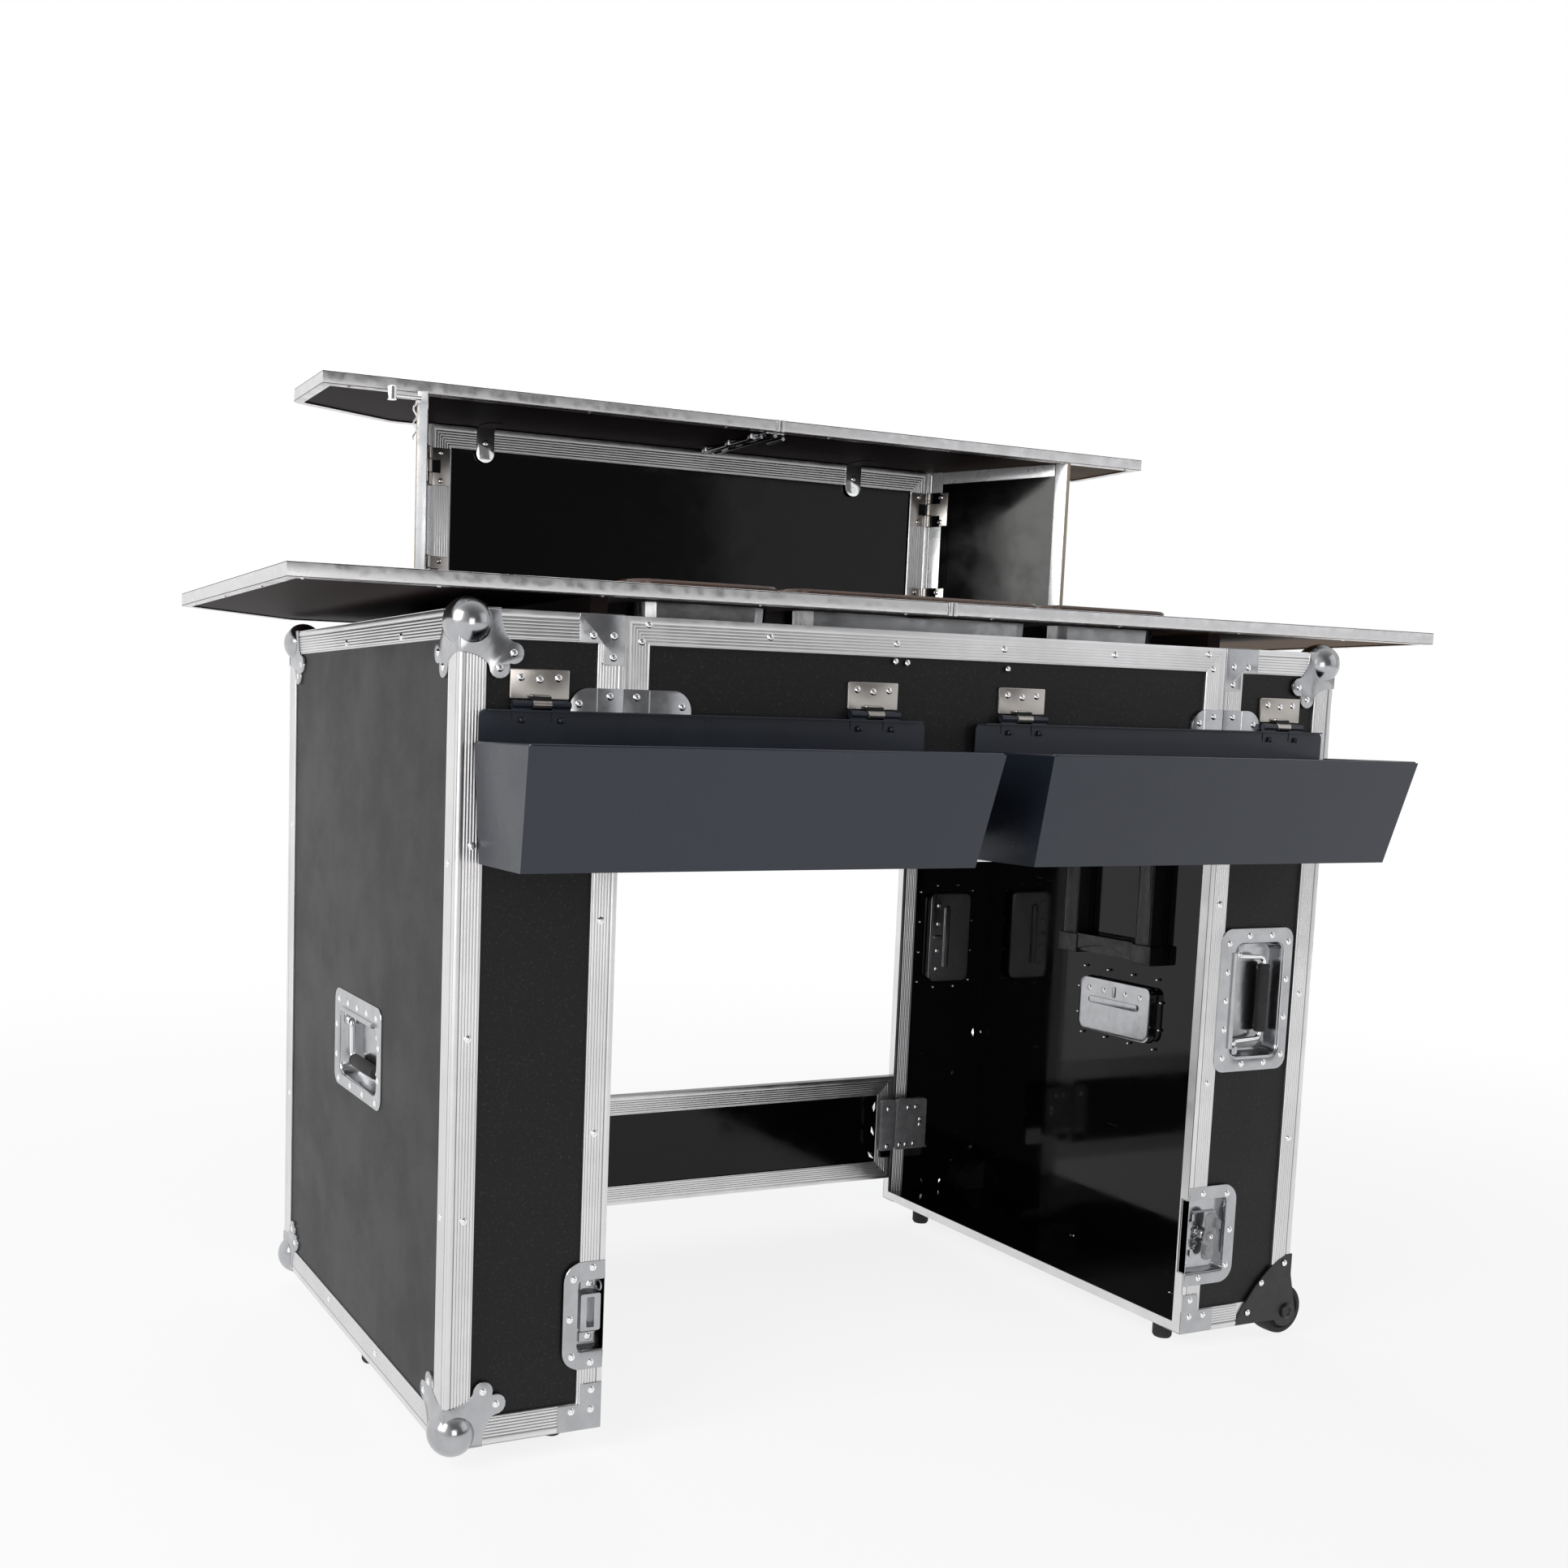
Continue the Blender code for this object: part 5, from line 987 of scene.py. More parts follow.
STRIP_RIVETS = [
    ("front", mirrored([(0.388, 0.872), (0.396, 0.854), (0.396, 0.650), (0.388, 0.627)])),
    ("front", [(a, b) for b in (0.8655, 0.627) for a in (-0.240, -0.075, 0.075, 0.240)]),
    ("front", mirrored([(0.582, 0.247), (0.582, 0.440), (0.582, 0.640)])),
    *[(face, [(0.020, 0.247), (0.630, 0.247), (0.020, 0.620), (0.630, 0.620), (0.388, 0.857), (0.181, 0.857),
              (0.425, 0.020), (0.231, 0.020)]) for face in ("left", "right")],
    ("back", mirrored([(0.582, 0.247), (0.582, 0.620), (0.434, 0.320), (0.434, 0.560), (0.396, 0.060),
                       (0.396, 0.180)])),
    ("back", [(a, b) for b in (0.052, 0.190) for a in (-0.28, -0.10, 0.10, 0.28)]),
    ("top", [(a, b) for a in (-0.585, -0.432, 0.585, 0.432) for b in (0.18, 0.33, 0.48)]),
    ("front", mirrored([(0.434, 0.330), (0.434, 0.560)])),
]


class BARCASE_OT_frames(Step):
    """Mitred ribbed strips round apron, kick board and riser boards, and the rivets of all strips"""
    bl_idname = "barcase.frames"
    bl_label = "Board frames and rivets"

    def make(self):
        shape = Shape()
        kick_low, kick_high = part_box("kick_board")
        reach = INNER - 0.0003
        for planes, z0, z1 in (((FRONT, FRONT + LIP), TOP - 0.262, TOP),
                               ((BACK - LIP, BACK), kick_low.z, kick_high.z)):
            for y, out in zip(planes, (-1, 1)):
                at = ((0, y, 0), (1, 0, 0), (0, 0, 1), (0, out, 0))
                add_frame_ribs(shape, at, (-reach, z0), (reach, z1))
        piece("board_frame_ribs", shape, "aluminium")

        for name, (at, length) in riser_faces().items():
            shape = Shape()
            origin, along, up, out = axes(at)
            far_corner = (length, RISER_HEIGHT)
            if name == "riser_middle":
                add_frame_ribs(shape, at, (0, 0), far_corner)
            add_frame_ribs(shape, (origin - RISER_THICK * out, along, up, -out), (0, 0), far_corner)
            piece(f"{name}_ribs", shape, "aluminium", name if "wing" in name else "bar")

        rivets = Shape()
        for face, spots in STRIP_RIVETS:
            add_rivets(rivets, face, spots, 0.0008)
        piece("strip_rivets", rivets, "bright_steel")


def board_outline(name, clip):
    """Path round a half board from the seam by front, side, clipped corner and back, rear corners soft."""
    low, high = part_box(name)
    x_out, front, back = max(abs(low.x), abs(high.x)), low.y, high.y
    near = [(SEAM, front), (x_out, front)]
    far = [(x_out, back - clip[1]), (x_out - clip[0], back), (SEAM, back)]
    return np.vstack([near, bent([near[1], *far], 0.012, 6)[1:]])


def add_edge_trim(shape, outline, side, z):
    """Metal channel round a half board: section (inset, height), set square to the outline at each point."""
    lip, thick = 0.0125, BOARD_THICK
    section = [(lip, -0.0004), (0.0014, -0.0004), (0.0003, -0.0001), (-0.0001, 0.0009),
               (-0.0001, thick - 0.0009), (0.0003, thick + 0.0002), (0.0014, thick + 0.0006),
               (lip, thick + 0.0006), (lip, thick - 0.0004), (0.0030, thick - 0.0010), (0.0030, 0.0010),
               (lip, 0.0004)]
    rings = []
    for inset, height in section:
        ring = raised(drawn_in(outline, inset), z + height)
        ring[[0, -1], 0] = SEAM
        rings.append(ring * (side, 1, 1))
    return shape.loft(np.stack(rings, axis=1))


def make_edge_channels(label, side):
    """Channels of one counter half and one bar half, with a small clip at each seam."""
    shape = Shape()
    add_edge_trim(shape, board_outline(f"counter_{label}", (0.180, 0.176)), side, COUNTER_UNDER)
    add_edge_trim(shape, board_outline(f"bar_top_{label}", (0.150, 0.070)), side, BAR_UNDER)
    clip = [(0, -0.0004), (0.0052, -0.0004), (0.0052, 0.0149), (0, 0.0149)]
    for y, z in ((FRONT, COUNTER_UNDER), (BAR_FRONT, BAR_UNDER)):
        at = ((side * 0.0008, y, z), (side, 0, 0), (0, 0, 1), (0, -1, 0))
        add_plate(shape, at, clip, -0.0005, 0.0004, 0.0003)
    piece(f"{label}_edge_channels", shape, "board_edge")


def add_board_screws(screws, side):
    """Screws that hold the channels from below, and three in the apron's strip."""
    down = (side, 0, 0), (0, 1, 0), (0, 0, -1)
    counter = ((0, FRONT, COUNTER_UNDER), *down)
    add_screws(screws, counter, [(a, 0.0065) for a in (0.06, 0.25, 0.44, 0.62, 0.76)], 0.0004, 0.0030)
    add_screws(screws, counter, [(0.7710, b) for b in (0.13, 0.30, 0.46)], 0.0004, 0.0030)
    if side > 0:
        add_screws(screws, "front", ((-0.075, 0.8455), (-0.059, 0.8445), (0.082, 0.8425)), 0.0002, 0.0036)
    bar = ((0, BAR_FRONT, BAR_UNDER), *down)
    add_screws(screws, bar, [(a, 0.0065) for a in (0.08, 0.28, 0.48, 0.60)], 0.0004, 0.0028)


def make_fold_hardware(screws):
    """Strap hinge under the bar's seam: two leaves, their barrel, a sliding rod in three guides, two stubs."""
    fold = Shape()
    seam = ((0, BAR_FRONT, BAR_UNDER), *DOWNWARD)
    for side in (-1, 1):
        add_plate(fold, moved(seam, side * 0.0085, 0.096), rounded(0.0125, 0.170, 0.003), 0.0, 0.0019, 0.0004)
        add_screws(screws, seam, [(side * 0.0085, b) for b in (0.025, 0.060, 0.132, 0.167)], 0.0018, 0.0028)
        stub = on_face(seam, [(side * 0.017, b, 0.0055) for b in (0.020, 0.060)])
        add_bar(fold, stub, 0.0026, 10)
    add_bar(fold, on_face(seam, [(0, 0.0125, 0.0034), (0, 0.1790, 0.0034)]), 0.0031, 14)
    slide = -0.022
    add_bar(fold, on_face(seam, [(slide, 0.030, 0.0060), (slide, 0.165, 0.0060)]), 0.0030, 12)
    for b in (0.034, 0.095, 0.160):
        add_plate(fold, moved(seam, slide, b), rounded(0.014, 0.010, 0.003), 0.0, 0.0075, 0.0010)
    piece("bar_fold_hardware", fold, "zinc")


def make_tabs(screws):
    """Two bent tabs with a round lower end under the bar top, each with a screw and a dented catch."""
    tabs, radius = Shape(), 0.0131
    t = np.radians(np.linspace(180, 360, 13))
    round_end = np.stack([radius * np.cos(t), radius * np.sin(t) - 0.0331], axis=-1)
    outline = np.vstack([[(radius, 0.0012), (-radius, 0.0012)], round_end])
    for x in (-0.352, 0.243):
        at = ((x, RISER_WALL - 0.0003, BAR_UNDER), *TO_FRONT)
        add_plate(tabs, at, outline, -0.0002, 0.0025, 0.0005)
        add_screws(screws, at, ((0.0, -0.0200),), 0.0024, 0.0042)
        dent = moved(at, 0.0, -0.0360, 0.0021)
        turned(tabs, [(0.0042, 0.0), (0.0042, 0.0006), (0.0030, 0.0006), (0.0030, 0.0002)], dent, 16)
    piece("bent_tabs", tabs, "bright_steel")


def make_hook():
    """Rod under the bar top with a button and a wavy wire: x = A sin(18 t), z falls evenly with t."""
    hook = Shape()
    x, y, z = -0.520, FRONT + 0.372, BAR_UNDER
    drop = 0.0100
    add_bar(hook, [(x - 0.034, y, z - drop), (x + 0.004, y, z - drop)], 0.0028, 10)
    turned(hook, [(0.0058, -0.0150), (0.0058, 0.0), (0.0046, 0.0008)], ((x - 0.033, y, z), *UPWARD), 16)
    t = np.linspace(0.0, 1.0, 28)
    wave = np.column_stack([x - 0.0035 + 0.0022 * np.sin(18 * t), y + 0 * t, z - drop - 0.050 * t])
    add_bar(hook, wave, 0.0012, 8)
    piece("bar_hook", hook, "bright_steel")


def make_lid(label):
    """Rolled rim and flat middle of one lid, rounded rectangles at rising heights, and a small wire pull."""
    low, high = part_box(f"lid_{label}")
    at = (((low.x + high.x) / 2, (low.y + high.y) / 2, high.z), *UPWARD)
    w, h = high.x - low.x + 0.0002, high.y - low.y + 0.0002
    shape = Shape()
    rim = [(0.0, -0.0030), (-0.0002, 0.0026), (0.0020, 0.0050), (0.0060, 0.0056), (0.0100, 0.0050),
           (0.0135, 0.0012), (0.0160, 0.0004), (0.0500, 0.0002)]
    add_layers(shape, at, [(w - 2 * inset, h - 2 * inset, max(0.024 - inset, 0.008), out, 0.0)
                           for inset, out in rim])
    half, rise = 0.030, 0.0050
    pull = bent([(-half, 0.0, 0.0), (-half, 0.0, rise), (half, 0.0, rise), (half, 0.0, 0.0)], 0.004, 4)
    add_bar(shape, on_face(at, pull), 0.0016, 10)
    # The lid takes the brown of a painted reflection.
    piece(f"lid_{label}_pressing", shape, "lid_painted_reflection", f"lid_{label}")


class BARCASE_OT_tops(Step):
    """Edge channels of counter and bar top, their screws, fold hinge, bent tabs, wire hook and lids"""
    bl_idname = "barcase.tops"
    bl_label = "Counter, bar top and lids"

    def make(self):
        screws = Shape()
        for label, side in SIDES:
            make_edge_channels(label, side)
            add_board_screws(screws, side)
        make_fold_hardware(screws)
        make_tabs(screws)
        make_hook()
        piece("board_screws", screws, "bright_steel")
        for label in ("left", "middle", "right"):
            make_lid(label)


class BARCASE_OT_trays(Step):
    """Tray hinges: plated leaves with three rivets, middle knuckles, and the folded hems of the trays"""
    bl_idname = "barcase.trays"
    bl_label = "Tray hinges and hems"

    def make(self):
        leaves, rivets = Shape(), Shape()
        leaf, flap = rounded(0.0664, 0.0304, 0.0015, 3), rounded(0.0215, 0.0080, 0.0005, 2)
        barrel = [(0.0030, -0.0106), (0.0044, -0.0102), (0.0044, 0.0102), (0.0030, 0.0106)]
        for x in TRAY_HINGES["left"] + TRAY_HINGES["right"]:
            at = ((x, FRONT, TRAY_PIN_Z), *TO_FRONT)
            add_plate(leaves, moved(at, 0.0, 0.0210), leaf, -0.0018, 0.0011, 0.0005)
            add_plate(leaves, moved(at, 0.0, 0.0060), flap, -0.0010, 0.0050, 0.0010)
            turned(leaves, barrel, ((x, FRONT - 0.00675, TRAY_PIN_Z), *TO_RIGHT), 20)
            add_rivets(rivets, at, ((-0.0210, 0.0275), (0.0, 0.0255), (0.0210, 0.0275)), 0.0010)
        piece("tray_hinge_leaves", leaves, "nickel")
        piece("tray_hinge_rivets", rivets, "bright_steel")
        for label, _ in SIDES:
            hems = Shape()
            low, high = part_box(f"{label}_tray")
            x0, x1, y0, y1, z = low.x + 0.0020, high.x - 0.0020, low.y + 0.0020, high.y - 0.010, BASE + 0.745
            add_bar(hems, bent([(x0, y1, z), (x0, y0, z), (x1, y0, z), (x1, y1, z)], 0.004, 4), 0.0019, 8)
            for x in TRAY_HINGES[label]:
                at = ((x, high.y, TRAY_PIN_Z), *TO_FRONT)
                add_screws(hems, at, ((-0.0220, -0.0160), (0.0220, -0.0160)), 0.0080, 0.0034)
            piece(f"{label}_tray_hems", hems, "tray_paint", f"tray_{label}")


def make_wing_hinges(label, side, faces, fixed, screws):
    """Two butt hinges of one riser corner: a leaf and a knuckle on the middle board, the rest on the wing."""
    body = f"riser_wing_{label}"
    (middle, length), (wing, _) = faces["riser_middle"], faces[body]
    moving, dots = Shape(), Shape()
    a = 0.0145 if side < 0 else length - 0.0145
    for b in (0.0485, RISER_HEIGHT - 0.056):
        leaf = moved(middle, a + 0.0010 * side, b)
        add_plate(fixed, leaf, rounded(0.0290, 0.0500, 0.0010, 2), -0.0004, 0.0013, 0.0004)
        add_screws(screws, middle, [(a, b + 0.0185), (a, b - 0.0185)], 0.0012, 0.0036)
        add_plate(moving, moved(wing, 0.0145, b), rounded(0.0250, 0.0500, 0.0010, 2), 0.0002, 0.0013, 0.0004)
        add_screws(dots, wing, [(0.0155, b + 0.0185), (0.0155, b - 0.0185)], 0.0012, 0.0036)
        pin = ((RISER_ENDS[label] + side * HINGE_OFF, RISER_WALL - HINGE_IN, middle[0][2] + b), *UPWARD)
        knuckles = (-0.0085, 0.0085, fixed), (-0.0255, -0.0090, moving), (0.0090, 0.0255, moving)
        for low, high, shape in knuckles:
            knuckle = [(0.0030, low), (0.0037, low + 0.0006), (0.0037, high - 0.0006), (0.0030, high)]
            turned(shape, knuckle, pin, 18)
    piece(f"{label}_wing_hinge_leaves", moving, "nickel", body)
    piece(f"{label}_wing_hinge_screws", dots, "bright_steel", body)


def make_wing_ends(label, side, wing):
    """White strips at the ends and the top of one riser wing, and the bare ply edge at its free end."""
    body = f"riser_wing_{label}"
    end, ply = Shape(), Shape()
    origin, along, up, out = axes(wing)
    tip = (origin + WING_LENGTH * along, -out, up, along)
    square = np.array([(0.0, 0.0), (RISER_THICK, 0.0), (RISER_THICK, RISER_HEIGHT), (0.0, RISER_HEIGHT)])
    middle = RISER_HEIGHT / 2
    if side < 0:
        add_plate(end, tip, square, -0.0010, 0.0006, 0.0005)
        edge = square * (0.08, 1.0) + (0.0122, 0)
        add_plate(ply, moved(tip, 0.0, 0.0, 0.0002), edge, -0.02, 0.0003, 0.0001)
    else:
        strip = rounded(0.0172, RISER_HEIGHT, 0.0008, 2)
        add_plate(end, moved(wing, 0.1996, middle), strip, -0.0002, 0.0009, 0.0004)
        add_plate(ply, tip, square, -0.0010, 0.0004, 0.0003)
    strip = rounded(0.0170, RISER_HEIGHT, 0.0008, 2)
    add_plate(end, moved(wing, 0.0090, middle), strip, -0.0002, 0.0004, 0.0002)
    strip = rounded(0.172, 0.0172, 0.0008, 2)
    add_plate(end, moved(wing, WING_LENGTH / 2, RISER_HEIGHT - 0.0092), strip, -0.0002, 0.0007, 0.0003)
    piece(f"{label}_wing_end_strip", end, "white_strip", body)
    piece(f"{label}_wing_ply", ply, "ply_edge", body)


class BARCASE_OT_riser_hinges(Step):
    """Butt hinges and round posts at the riser's corners, strips on the wings and their ply edges"""
    bl_idname = "barcase.riser_hinges"
    bl_label = "Riser hinges and ends"

    def make(self):
        faces = riser_faces()
        z = faces["riser_middle"][0][0][2]
        fixed, screws = Shape(), Shape()
        for label, side in SIDES:
            make_wing_hinges(label, side, faces, fixed, screws)
            make_wing_ends(label, side, faces[f"riser_wing_{label}"][0])
            x, y = RISER_ENDS[label] + side * HINGE_OFF, RISER_WALL + 0.0015
            post = Shape()
            add_bar(post, [(x, y, z + 0.001), (x, y, z + RISER_HEIGHT - 0.001)], 0.0050, 14)
            piece(f"{label}_riser_post", post, "white_strip")
        piece("riser_hinge_leaves", fixed, "nickel")
        piece("riser_hinge_screws", screws, "bright_steel")


def tyre_section():
    """Section of a wheel as (radius, place along the axle): bore, hub, dished web, rim and crowned tread."""
    half = 0.013
    t = np.linspace(-1.0, 1.0, 9)
    tread = np.stack([0.0325 + 0.0015 * np.sqrt(1 - 0.9 * t ** 2), 0.0115 * t], axis=-1)
    wall = np.array([(0.0062, half), (0.0155, half), (0.0170, 0.0100), (0.0245, 0.0100), (0.0260, half),
                     (0.0308, half)])
    return np.vstack([wall * (1, -1), tread, wall[::-1]])


class BARCASE_OT_wheels(Step):
    """Corner wheels: crowned tyre, dished web and axle head, and the rivets of their housings"""
    bl_idname = "barcase.wheels"
    bl_label = "Corner wheels"

    def make(self):
        rivets = Shape()
        head = [(0.0098, 0.0020), (0.0098, 0.0042), (0.0084, 0.0054), (0.0050, 0.0056), (0.0042, 0.0040)]
        for label, y, out in (("front", FRONT, -1), ("back", BACK, 1)):
            at = ((SIDE, y, AXLE_Z), (-out, 0, 0), (0, 0, 1), (0, out, 0))
            wheel = Shape().ring(on_face(at, turned_points(tyre_section() + (0.0, -0.018), 56)))
            piece(f"corner_wheel_{label}", wheel, "rubber", f"wheel_{label}",
                  (f"right_wheel_{label}",))
            axle = turned(Shape(), head, at)
            piece(f"axle_head_{label}", axle, "black_plastic")
            face = ((SIDE, y, BASE), (-1, 0, 0), (0, 0, 1), (0, out, 0))
            add_rivets(rivets, face, ((0.0700, 0.0160), (0.0490, 0.0540), (0.0100, 0.0770)), 0.0024)
        piece("housing_rivets", rivets, "bright_steel")


def make_dish_backs():
    """Backs of the handle dishes, each with a pressed bar and rivets, and the rivet ends round them."""
    backs, dots = Shape(), Shape()
    upper = [(a, 0.0545) for a in (-0.074, -0.025, 0.025, 0.074)]
    lower = [(a, -0.0480) for a in (-0.074, -0.0247, 0.0247, 0.074)]
    spots = upper + lower + [(a, b) for a in (-0.0838, 0.0838) for b in (-0.018, 0.022)]
    points, blocks = rivet_shape()
    for _, _, at in handle_axes():
        origin, along, up, out = moved(at, 0.0, CUP_LOW, -0.0212)
        inner = (origin, along, up, -out)
        add_layers(backs, inner, [(0.1450, 0.0790, 0.012, -0.0003, 0.0), (0.1458, 0.0798, 0.012, 0.0002, 0.0),
                                  (0.1440, 0.0780, 0.011, 0.0006, 0.0), (0.1370, 0.0710, 0.010, 0.0010, 0.0)])
        add_plate(backs, moved(inner, 0.0, 0.0080), rounded(0.102, 0.0105, 0.005), 0.0006, 0.0034, 0.0016)
        add_plate(backs, moved(inner, 0.0, 0.0245), rounded(0.0070, 0.0170, 0.003), 0.0006, 0.0022, 0.0010)
        add_rivets(dots, inner, [(a, 0.0245) for a in (-0.052, -0.022, 0.022, 0.052)], 0.0008)
        wall = moved(at, 0.0, CUP_LOW, -0.0118)[0]
        face = (wall, along, up, -out)
        dots.copies(points * (0.55, 0.55, 1.6), blocks, [moved(face, a, b) for a, b in spots])
    piece("dish_backs", backs, "zinc")
    piece("rivet_ends", dots, "bright_steel")


def make_latch_cover():
    """Cover behind the latch of the kick board's joint: two plates side by side with nine rivets."""
    cover, heads = Shape(), Shape()
    at = ((0.4215, FRONT + 0.6150, BASE + 0.1310), *TO_FRONT)
    for a, width in ((-0.0305, 0.0290), (0.0150, 0.0600)):
        add_plate(cover, moved(at, a), rounded(width, 0.0830, 0.0060), -0.0060, 0.0016, 0.0010)
    spots = ((-0.0300, 0.0280), (0.0090, 0.0280), (0.0240, 0.0280), (0.0330, 0.0070), (0.0330, -0.0020),
             (-0.0300, -0.0340), (-0.0050, -0.0330), (0.0070, -0.0330), (0.0220, -0.0330))
    add_rivets(heads, at, spots, 0.0014)
    piece("latch_cover_rivets", heads, "bright_steel")
    piece("latch_cover_plate", cover, "worn_plate")


def make_inner_legs():
    """Inner legs of the closing profiles, on the inner faces of the front and back boards."""
    legs = Shape()
    for label, side in SIDES:
        low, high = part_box(f"{label}_bottom_panel")[1].z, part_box(f"{label}_top_panel")[0].z
        x = side * (INNER + 0.0004)
        for y, out in ((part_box(f"{label}_back_panel")[0].y, -1), (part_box(f"{label}_front_panel")[1].y, 1)):
            add_flat_strip(legs, (x, y, low), (x, y, high), (side, 0, 0), (0, out, 0), 0.0285)
    piece("inner_legs", legs, "aluminium")


def make_marks():
    """Bolt ends and chips inside the right half: small four-sided flakes, turned and sized by their number."""
    marks = Shape()
    chip = np.array([(-0.004, -0.001, 0.0), (0.001, -0.002, 0.0), (0.005, 0.001, 0.0), (0.0, 0.002, 0.0),
                     (-0.001, 0.0, 0.0014)])
    around = [np.array([(0, 1, 4), (1, 2, 4), (2, 3, 4), (3, 0, 4)]), np.array([(3, 2, 1, 0)])]
    on_back = [(0.486, 0.125), (0.489, 0.084), (0.573, 0.270), (0.590, 0.270), (0.545, 0.054), (0.580, 0.074),
               (0.520, 0.022), (0.484, 0.024), (0.558, 0.018), (0.470, 0.240), (0.535, 0.205)]
    on_kick_board = [(0.372, 0.160), (0.371, 0.120), (0.370, 0.080)]
    on_floor = [(0.50, 0.30), (0.53, 0.22), (0.55, 0.08), (0.47, 0.02), (0.56, -0.10), (0.50, -0.17)]
    rear = ((0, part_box("right_back_panel")[0].y, BASE), *TO_FRONT)
    for k, (a, b) in enumerate(on_back):
        marks.copies(chip * (0.9 + 0.3 * (k % 3)), around, [moved(rear, a, b, 0.0, 40.0 * k)])
    kick = ((0, BACK - 0.0250, BASE), *TO_FRONT)
    for k, (a, b) in enumerate(on_kick_board):
        marks.copies(chip * 1.8, around, [moved(kick, a, b, 0.0, 70.0 + 25.0 * k)])
    ground = ((0, 0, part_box("right_bottom_panel")[1].z), *UPWARD)
    for k, (a, b) in enumerate(on_floor):
        marks.copies(chip * (0.8, 0.5, 1.0), around, [moved(ground, a, b, 0.0, 55.0 * k)])
    piece("bolt_ends_and_chips", marks, "bright_steel")


def make_sleeve_skins():
    """Skins of the two trolley sleeves with bright edge lines, their feet and the arched bridge between."""
    low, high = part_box("right_trolley_sleeves")
    x, y = low.x + 0.0028, FRONT + 0.342
    foot, head = low.z + 0.012, high.z
    tube = rounded(0.0318, head - foot, 0.001, 2) + (0.0, (foot + head) / 2)
    shoe = rounded(0.0402, 0.0282, 0.0025, 3) + (0.0, low.z + 0.0141)
    skins, lines = Shape(), Shape()
    for end in (-1, 1):
        at = ((x, y + end * 0.076, 0.0), *TO_LEFT)
        add_plate(skins, at, tube, -0.010, 0.0016, 0.0014)
        for a in (-0.0118, 0.0118):
            add_bar(lines, on_face(at, [(a, foot + 0.014, 0.0016), (a, head - 0.001, 0.0016)]), 0.0009, 8)
        add_plate(skins, at, shoe, -0.010, 0.0046, 0.0020)
    t, reach = np.linspace(0.0, 1.0, 15), 0.058
    arch = np.stack([(2 * t - 1) * reach, low.z + 0.006 + 0.010 * np.sin(math.pi * t)], axis=-1)
    bridge = np.vstack([arch, [(reach, low.z + 0.0300), (-reach, low.z + 0.0300)]])
    add_plate(skins, ((x, y, 0.0), *TO_LEFT), bridge, -0.010, 0.0030, 0.0012)
    piece("trolley_sleeve_skins", skins, "black_plastic")
    piece("trolley_edge_lines", lines, "zinc")


class BARCASE_OT_inside(Step):
    """Inside the halves: dish backs, latch cover, inner legs, bolt ends, chips, trolley sleeves and bridge"""
    bl_idname = "barcase.inside"
    bl_label = "Inside of the halves"

    def make(self):
        make_dish_backs()
        make_latch_cover()
        make_inner_legs()
        make_marks()
        make_sleeve_skins()


class BARCASE_OT_finishes(Step):
    """Node materials of all pieces, and the finish of each node that is carried over"""
    bl_idname = "barcase.finishes"
    bl_label = "Finishes"

    def make(self):
        tones = colours()
        laminate_finish(tones)
        aluminium_finish(tones)
        board_finish(tones)
        ply_edge_finish()
        metal_finishes(tones)
        dull_finishes(tones)
        by_slot = {"aluminium": "aluminium", "zinc": "zinc", "handle_grip": "rubber", "rubber": "rubber",
                   "black_plastic": "black_plastic", "wheel_rubber": "rubber", "tray_coat": "tray_paint",
                   "pan_steel": "pan_steel", "board": "board", "gloss_panel": "gloss_laminate",
                   "laminate": "laminate"}
        slots = {row["node"]: row["material_slot"] for row in frame["record"]["subparts"]}
        slots["apron_panel"] = "laminate"
        for name, cad in frame["nodes"].items():
            cad.data.materials.clear()
            cad.data.materials.append(FINISHES[by_slot[slots[name]]])


# Studio

WHITE = (1.0, 1.0, 1.0, 1.0)
FLOOR_HALF = 9.0
AIM = (0.0, 0.0, 0.6)
LAMPS = {"key_lamp": ((-3.3, -1.3, 2.2), 84.0, 2.0, (1.0, 0.99, 0.97)),
         "front_lamp": ((-0.7, -3.3, 0.9), 12.0, 1.2, (1.0, 0.99, 0.98)),
         "fill_lamp": ((2.8, -2.4, 1.9), 12.0, 2.4, (0.97, 0.98, 1.0)),
         "back_lamp": ((0.6, 3.2, 2.6), 40.0, 2.6, (1.0, 1.0, 1.0))}
CAMERA_AT = (-1.1864, -1.8287, 0.7933)
CAMERA_YAW, CAMERA_PITCH, CAMERA_ROLL = 23.03, -5.99, 1.45
SENSOR, LENS = 36.0, 37.68
SHIFT = (0.1670, 0.0714)


def math_node(tree, operation, *values):
    return node(tree, "Math", {"operation": operation}, *values).outputs[0]


def smooth_range(tree, value, *limits):
    """Map a value smoothly from the first two limits to the last two."""
    return node(tree, "MapRange", {"interpolation_type": "SMOOTHSTEP"}, value, *limits).outputs[0]


def seen_directly(tree, *kinds):
    """1 for rays of the named kinds, 0 for all others."""
    rays = node(tree, "LightPath").outputs
    first, *others = (rays[f"Is {kind} Ray"] for kind in kinds)
    for other in others:
        first = math_node(tree, "MAXIMUM", first, other)
    return first


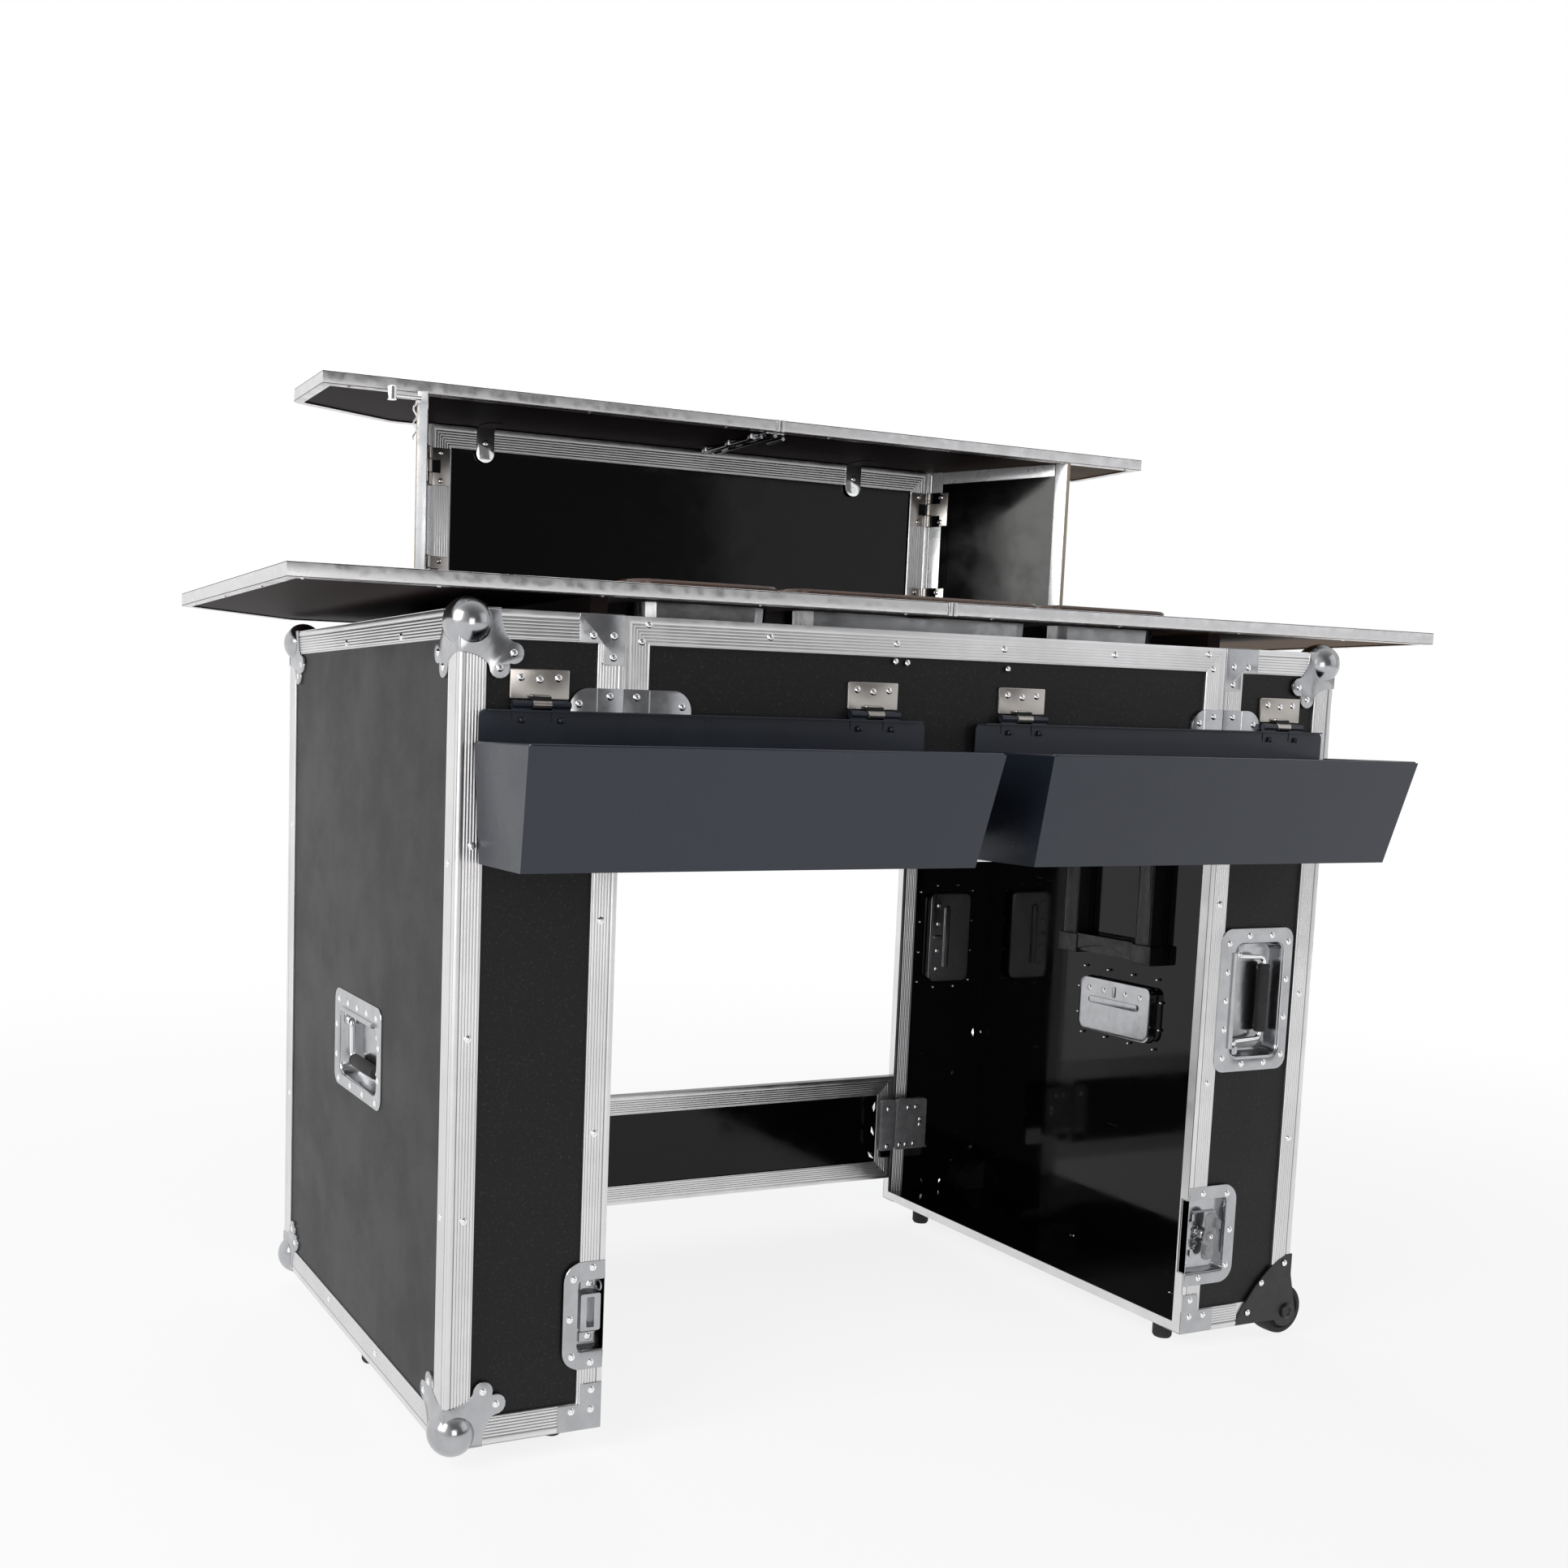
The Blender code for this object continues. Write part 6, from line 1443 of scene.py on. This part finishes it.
def make_floor(scene):
    """Pale matt floor that keeps the shadow and turns white by a smooth step of distance from its middle."""
    mesh = bpy.data.meshes.new("studio_floor")
    corners = [(x * FLOOR_HALF, y * FLOOR_HALF, 0.0) for x, y in ((-1, -1), (1, -1), (1, 1), (-1, 1))]
    mesh.from_pydata(corners, [], [(0, 1, 2, 3)])
    floor = bpy.data.objects.new("studio_floor", mesh)
    scene.collection.objects.link(floor)
    finish = bpy.data.materials.new("studio_floor")
    finish.use_nodes = True
    tree = finish.node_tree
    shader = tree.nodes["Principled BSDF"]
    shader.inputs["Base Color"].default_value = (0.86, 0.86, 0.86, 1.0)
    shader.inputs["Roughness"].default_value = 0.9
    shader.inputs["Specular IOR Level"].default_value = 0.0
    seen = seen_directly(tree, "Camera", "Glossy", "Transmission")
    white = node(tree, "Emission", None, WHITE, 1.0)
    place = node(tree, "TexCoord").outputs["Object"]
    reach = node(tree, "VectorMath", {"operation": "LENGTH"}, place).outputs[1]
    share = math_node(tree, "MULTIPLY", seen, smooth_range(tree, reach, 0.9, 3.4, 0.84, 1.0))
    both = node(tree, "MixShader", None, share, shader.outputs[0], white.outputs[0])
    tree.links.new(both.outputs[0], tree.nodes["Material Output"].inputs[0])
    mesh.materials.append(finish)


def make_surroundings(scene):
    """White to the camera, soft light on surfaces; in reflections bright behind and left, dim in front."""
    world = bpy.data.worlds.new("studio_light")
    scene.world = world
    world.use_nodes = True
    tree = world.node_tree
    tree.nodes.clear()
    where = node(tree, "SeparateXYZ", None, node(tree, "TexCoord").outputs["Generated"]).outputs
    behind = smooth_range(tree, where[1], -0.9, 0.5, 0.16, 1.0)
    left = smooth_range(tree, where[0], 0.2, -0.9, 0.0, 0.8)
    mirror = math_node(tree, "MAXIMUM", behind, left)
    soft = node(tree, "Background", None, (0.93, 0.95, 1.0, 1.0), 0.42)
    seen = node(tree, "Background", None, WHITE, 1.0)
    shiny = node(tree, "Background", None, WHITE, mirror)
    glossy = node(tree, "MixShader", None, seen_directly(tree, "Glossy"), soft.outputs[0], shiny.outputs[0])
    open_view = seen_directly(tree, "Camera", "Transmission")
    both = node(tree, "MixShader", None, open_view, glossy.outputs[0], seen.outputs[0])
    out = tree.nodes.new("ShaderNodeOutputWorld")
    tree.links.new(both.outputs[0], out.inputs[0])


def make_lamps(scene):
    """Square soft lamps that all look at the middle of the case: place, power, size and tint."""
    for name, (at, power, size, tint) in LAMPS.items():
        lamp = bpy.data.lights.new(name, "AREA")
        lamp.energy, lamp.size, lamp.color = power, size, tint
        made = bpy.data.objects.new(name, lamp)
        made.location = at
        made.rotation_euler = (Vector(AIM) - Vector(at)).to_track_quat("-Z", "Y").to_euler()
        scene.collection.objects.link(made)


def make_camera(scene):
    """Camera at the photograph's place, turned by yaw and pitch and rolled about its view."""
    lens = bpy.data.cameras.new("camera")
    lens.sensor_width, lens.lens = SENSOR, LENS
    lens.shift_x, lens.shift_y = SHIFT
    lens.clip_start, lens.clip_end = 0.05, 60.0
    camera = bpy.data.objects.new("camera", lens)
    yaw, pitch, roll = (math.radians(v) for v in (CAMERA_YAW, CAMERA_PITCH, CAMERA_ROLL))
    ahead = Vector((math.sin(yaw) * math.cos(pitch), math.cos(yaw) * math.cos(pitch), math.sin(pitch)))
    level = Vector((math.cos(yaw), -math.sin(yaw), 0.0))
    upright = level.cross(ahead)
    right = level * math.cos(roll) + upright * math.sin(roll)
    up = upright * math.cos(roll) - level * math.sin(roll)
    turn = Matrix((right, up, -ahead)).transposed()
    camera.matrix_world = Matrix.Translation(CAMERA_AT) @ turn.to_4x4()
    scene.collection.objects.link(camera)
    scene.camera = camera


class BARCASE_OT_studio(Step):
    """Pale floor, white surroundings, soft lamps and the camera at the photograph's angle"""
    bl_idname = "barcase.studio"
    bl_label = "Studio and camera"

    def make(self):
        scene = bpy.context.scene
        scene.view_settings.view_transform = "Standard"
        make_floor(scene)
        make_surroundings(scene)
        make_lamps(scene)
        make_camera(scene)


OPERATORS = [BARCASE_OT_finishes, BARCASE_OT_extrusions, BARCASE_OT_corners, BARCASE_OT_handles,
             BARCASE_OT_latches, BARCASE_OT_frames, BARCASE_OT_tops, BARCASE_OT_trays,
             BARCASE_OT_riser_hinges, BARCASE_OT_wheels, BARCASE_OT_inside, BARCASE_OT_studio]


class BARCASE_PT_panel(Panel):
    """Lists the steps that dress the folding bar"""
    bl_idname = "BARCASE_PT_panel"
    bl_label = "Folding bar case"
    bl_space_type = "VIEW_3D"
    bl_region_type = "UI"
    bl_category = "Bar case"

    def draw(self, context):
        for step in OPERATORS:
            self.layout.operator(step.bl_idname)


CLASSES = [BarCaseColours, BarCaseSizes, *OPERATORS, BARCASE_PT_panel]


def register():
    for kind in CLASSES:
        bpy.utils.register_class(kind)
    bpy.types.Scene.bar_case_colours = PointerProperty(type=BarCaseColours)
    bpy.types.Scene.bar_case_sizes = PointerProperty(type=BarCaseSizes)


def unregister():
    del bpy.types.Scene.bar_case_sizes
    del bpy.types.Scene.bar_case_colours
    for kind in reversed(CLASSES):
        bpy.utils.unregister_class(kind)


def main():
    """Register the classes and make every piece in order."""
    register()
    for step in OPERATORS:
        group, name = step.bl_idname.split(".")
        getattr(getattr(bpy.ops, group), name)()


if __name__ == "__main__":
    main()
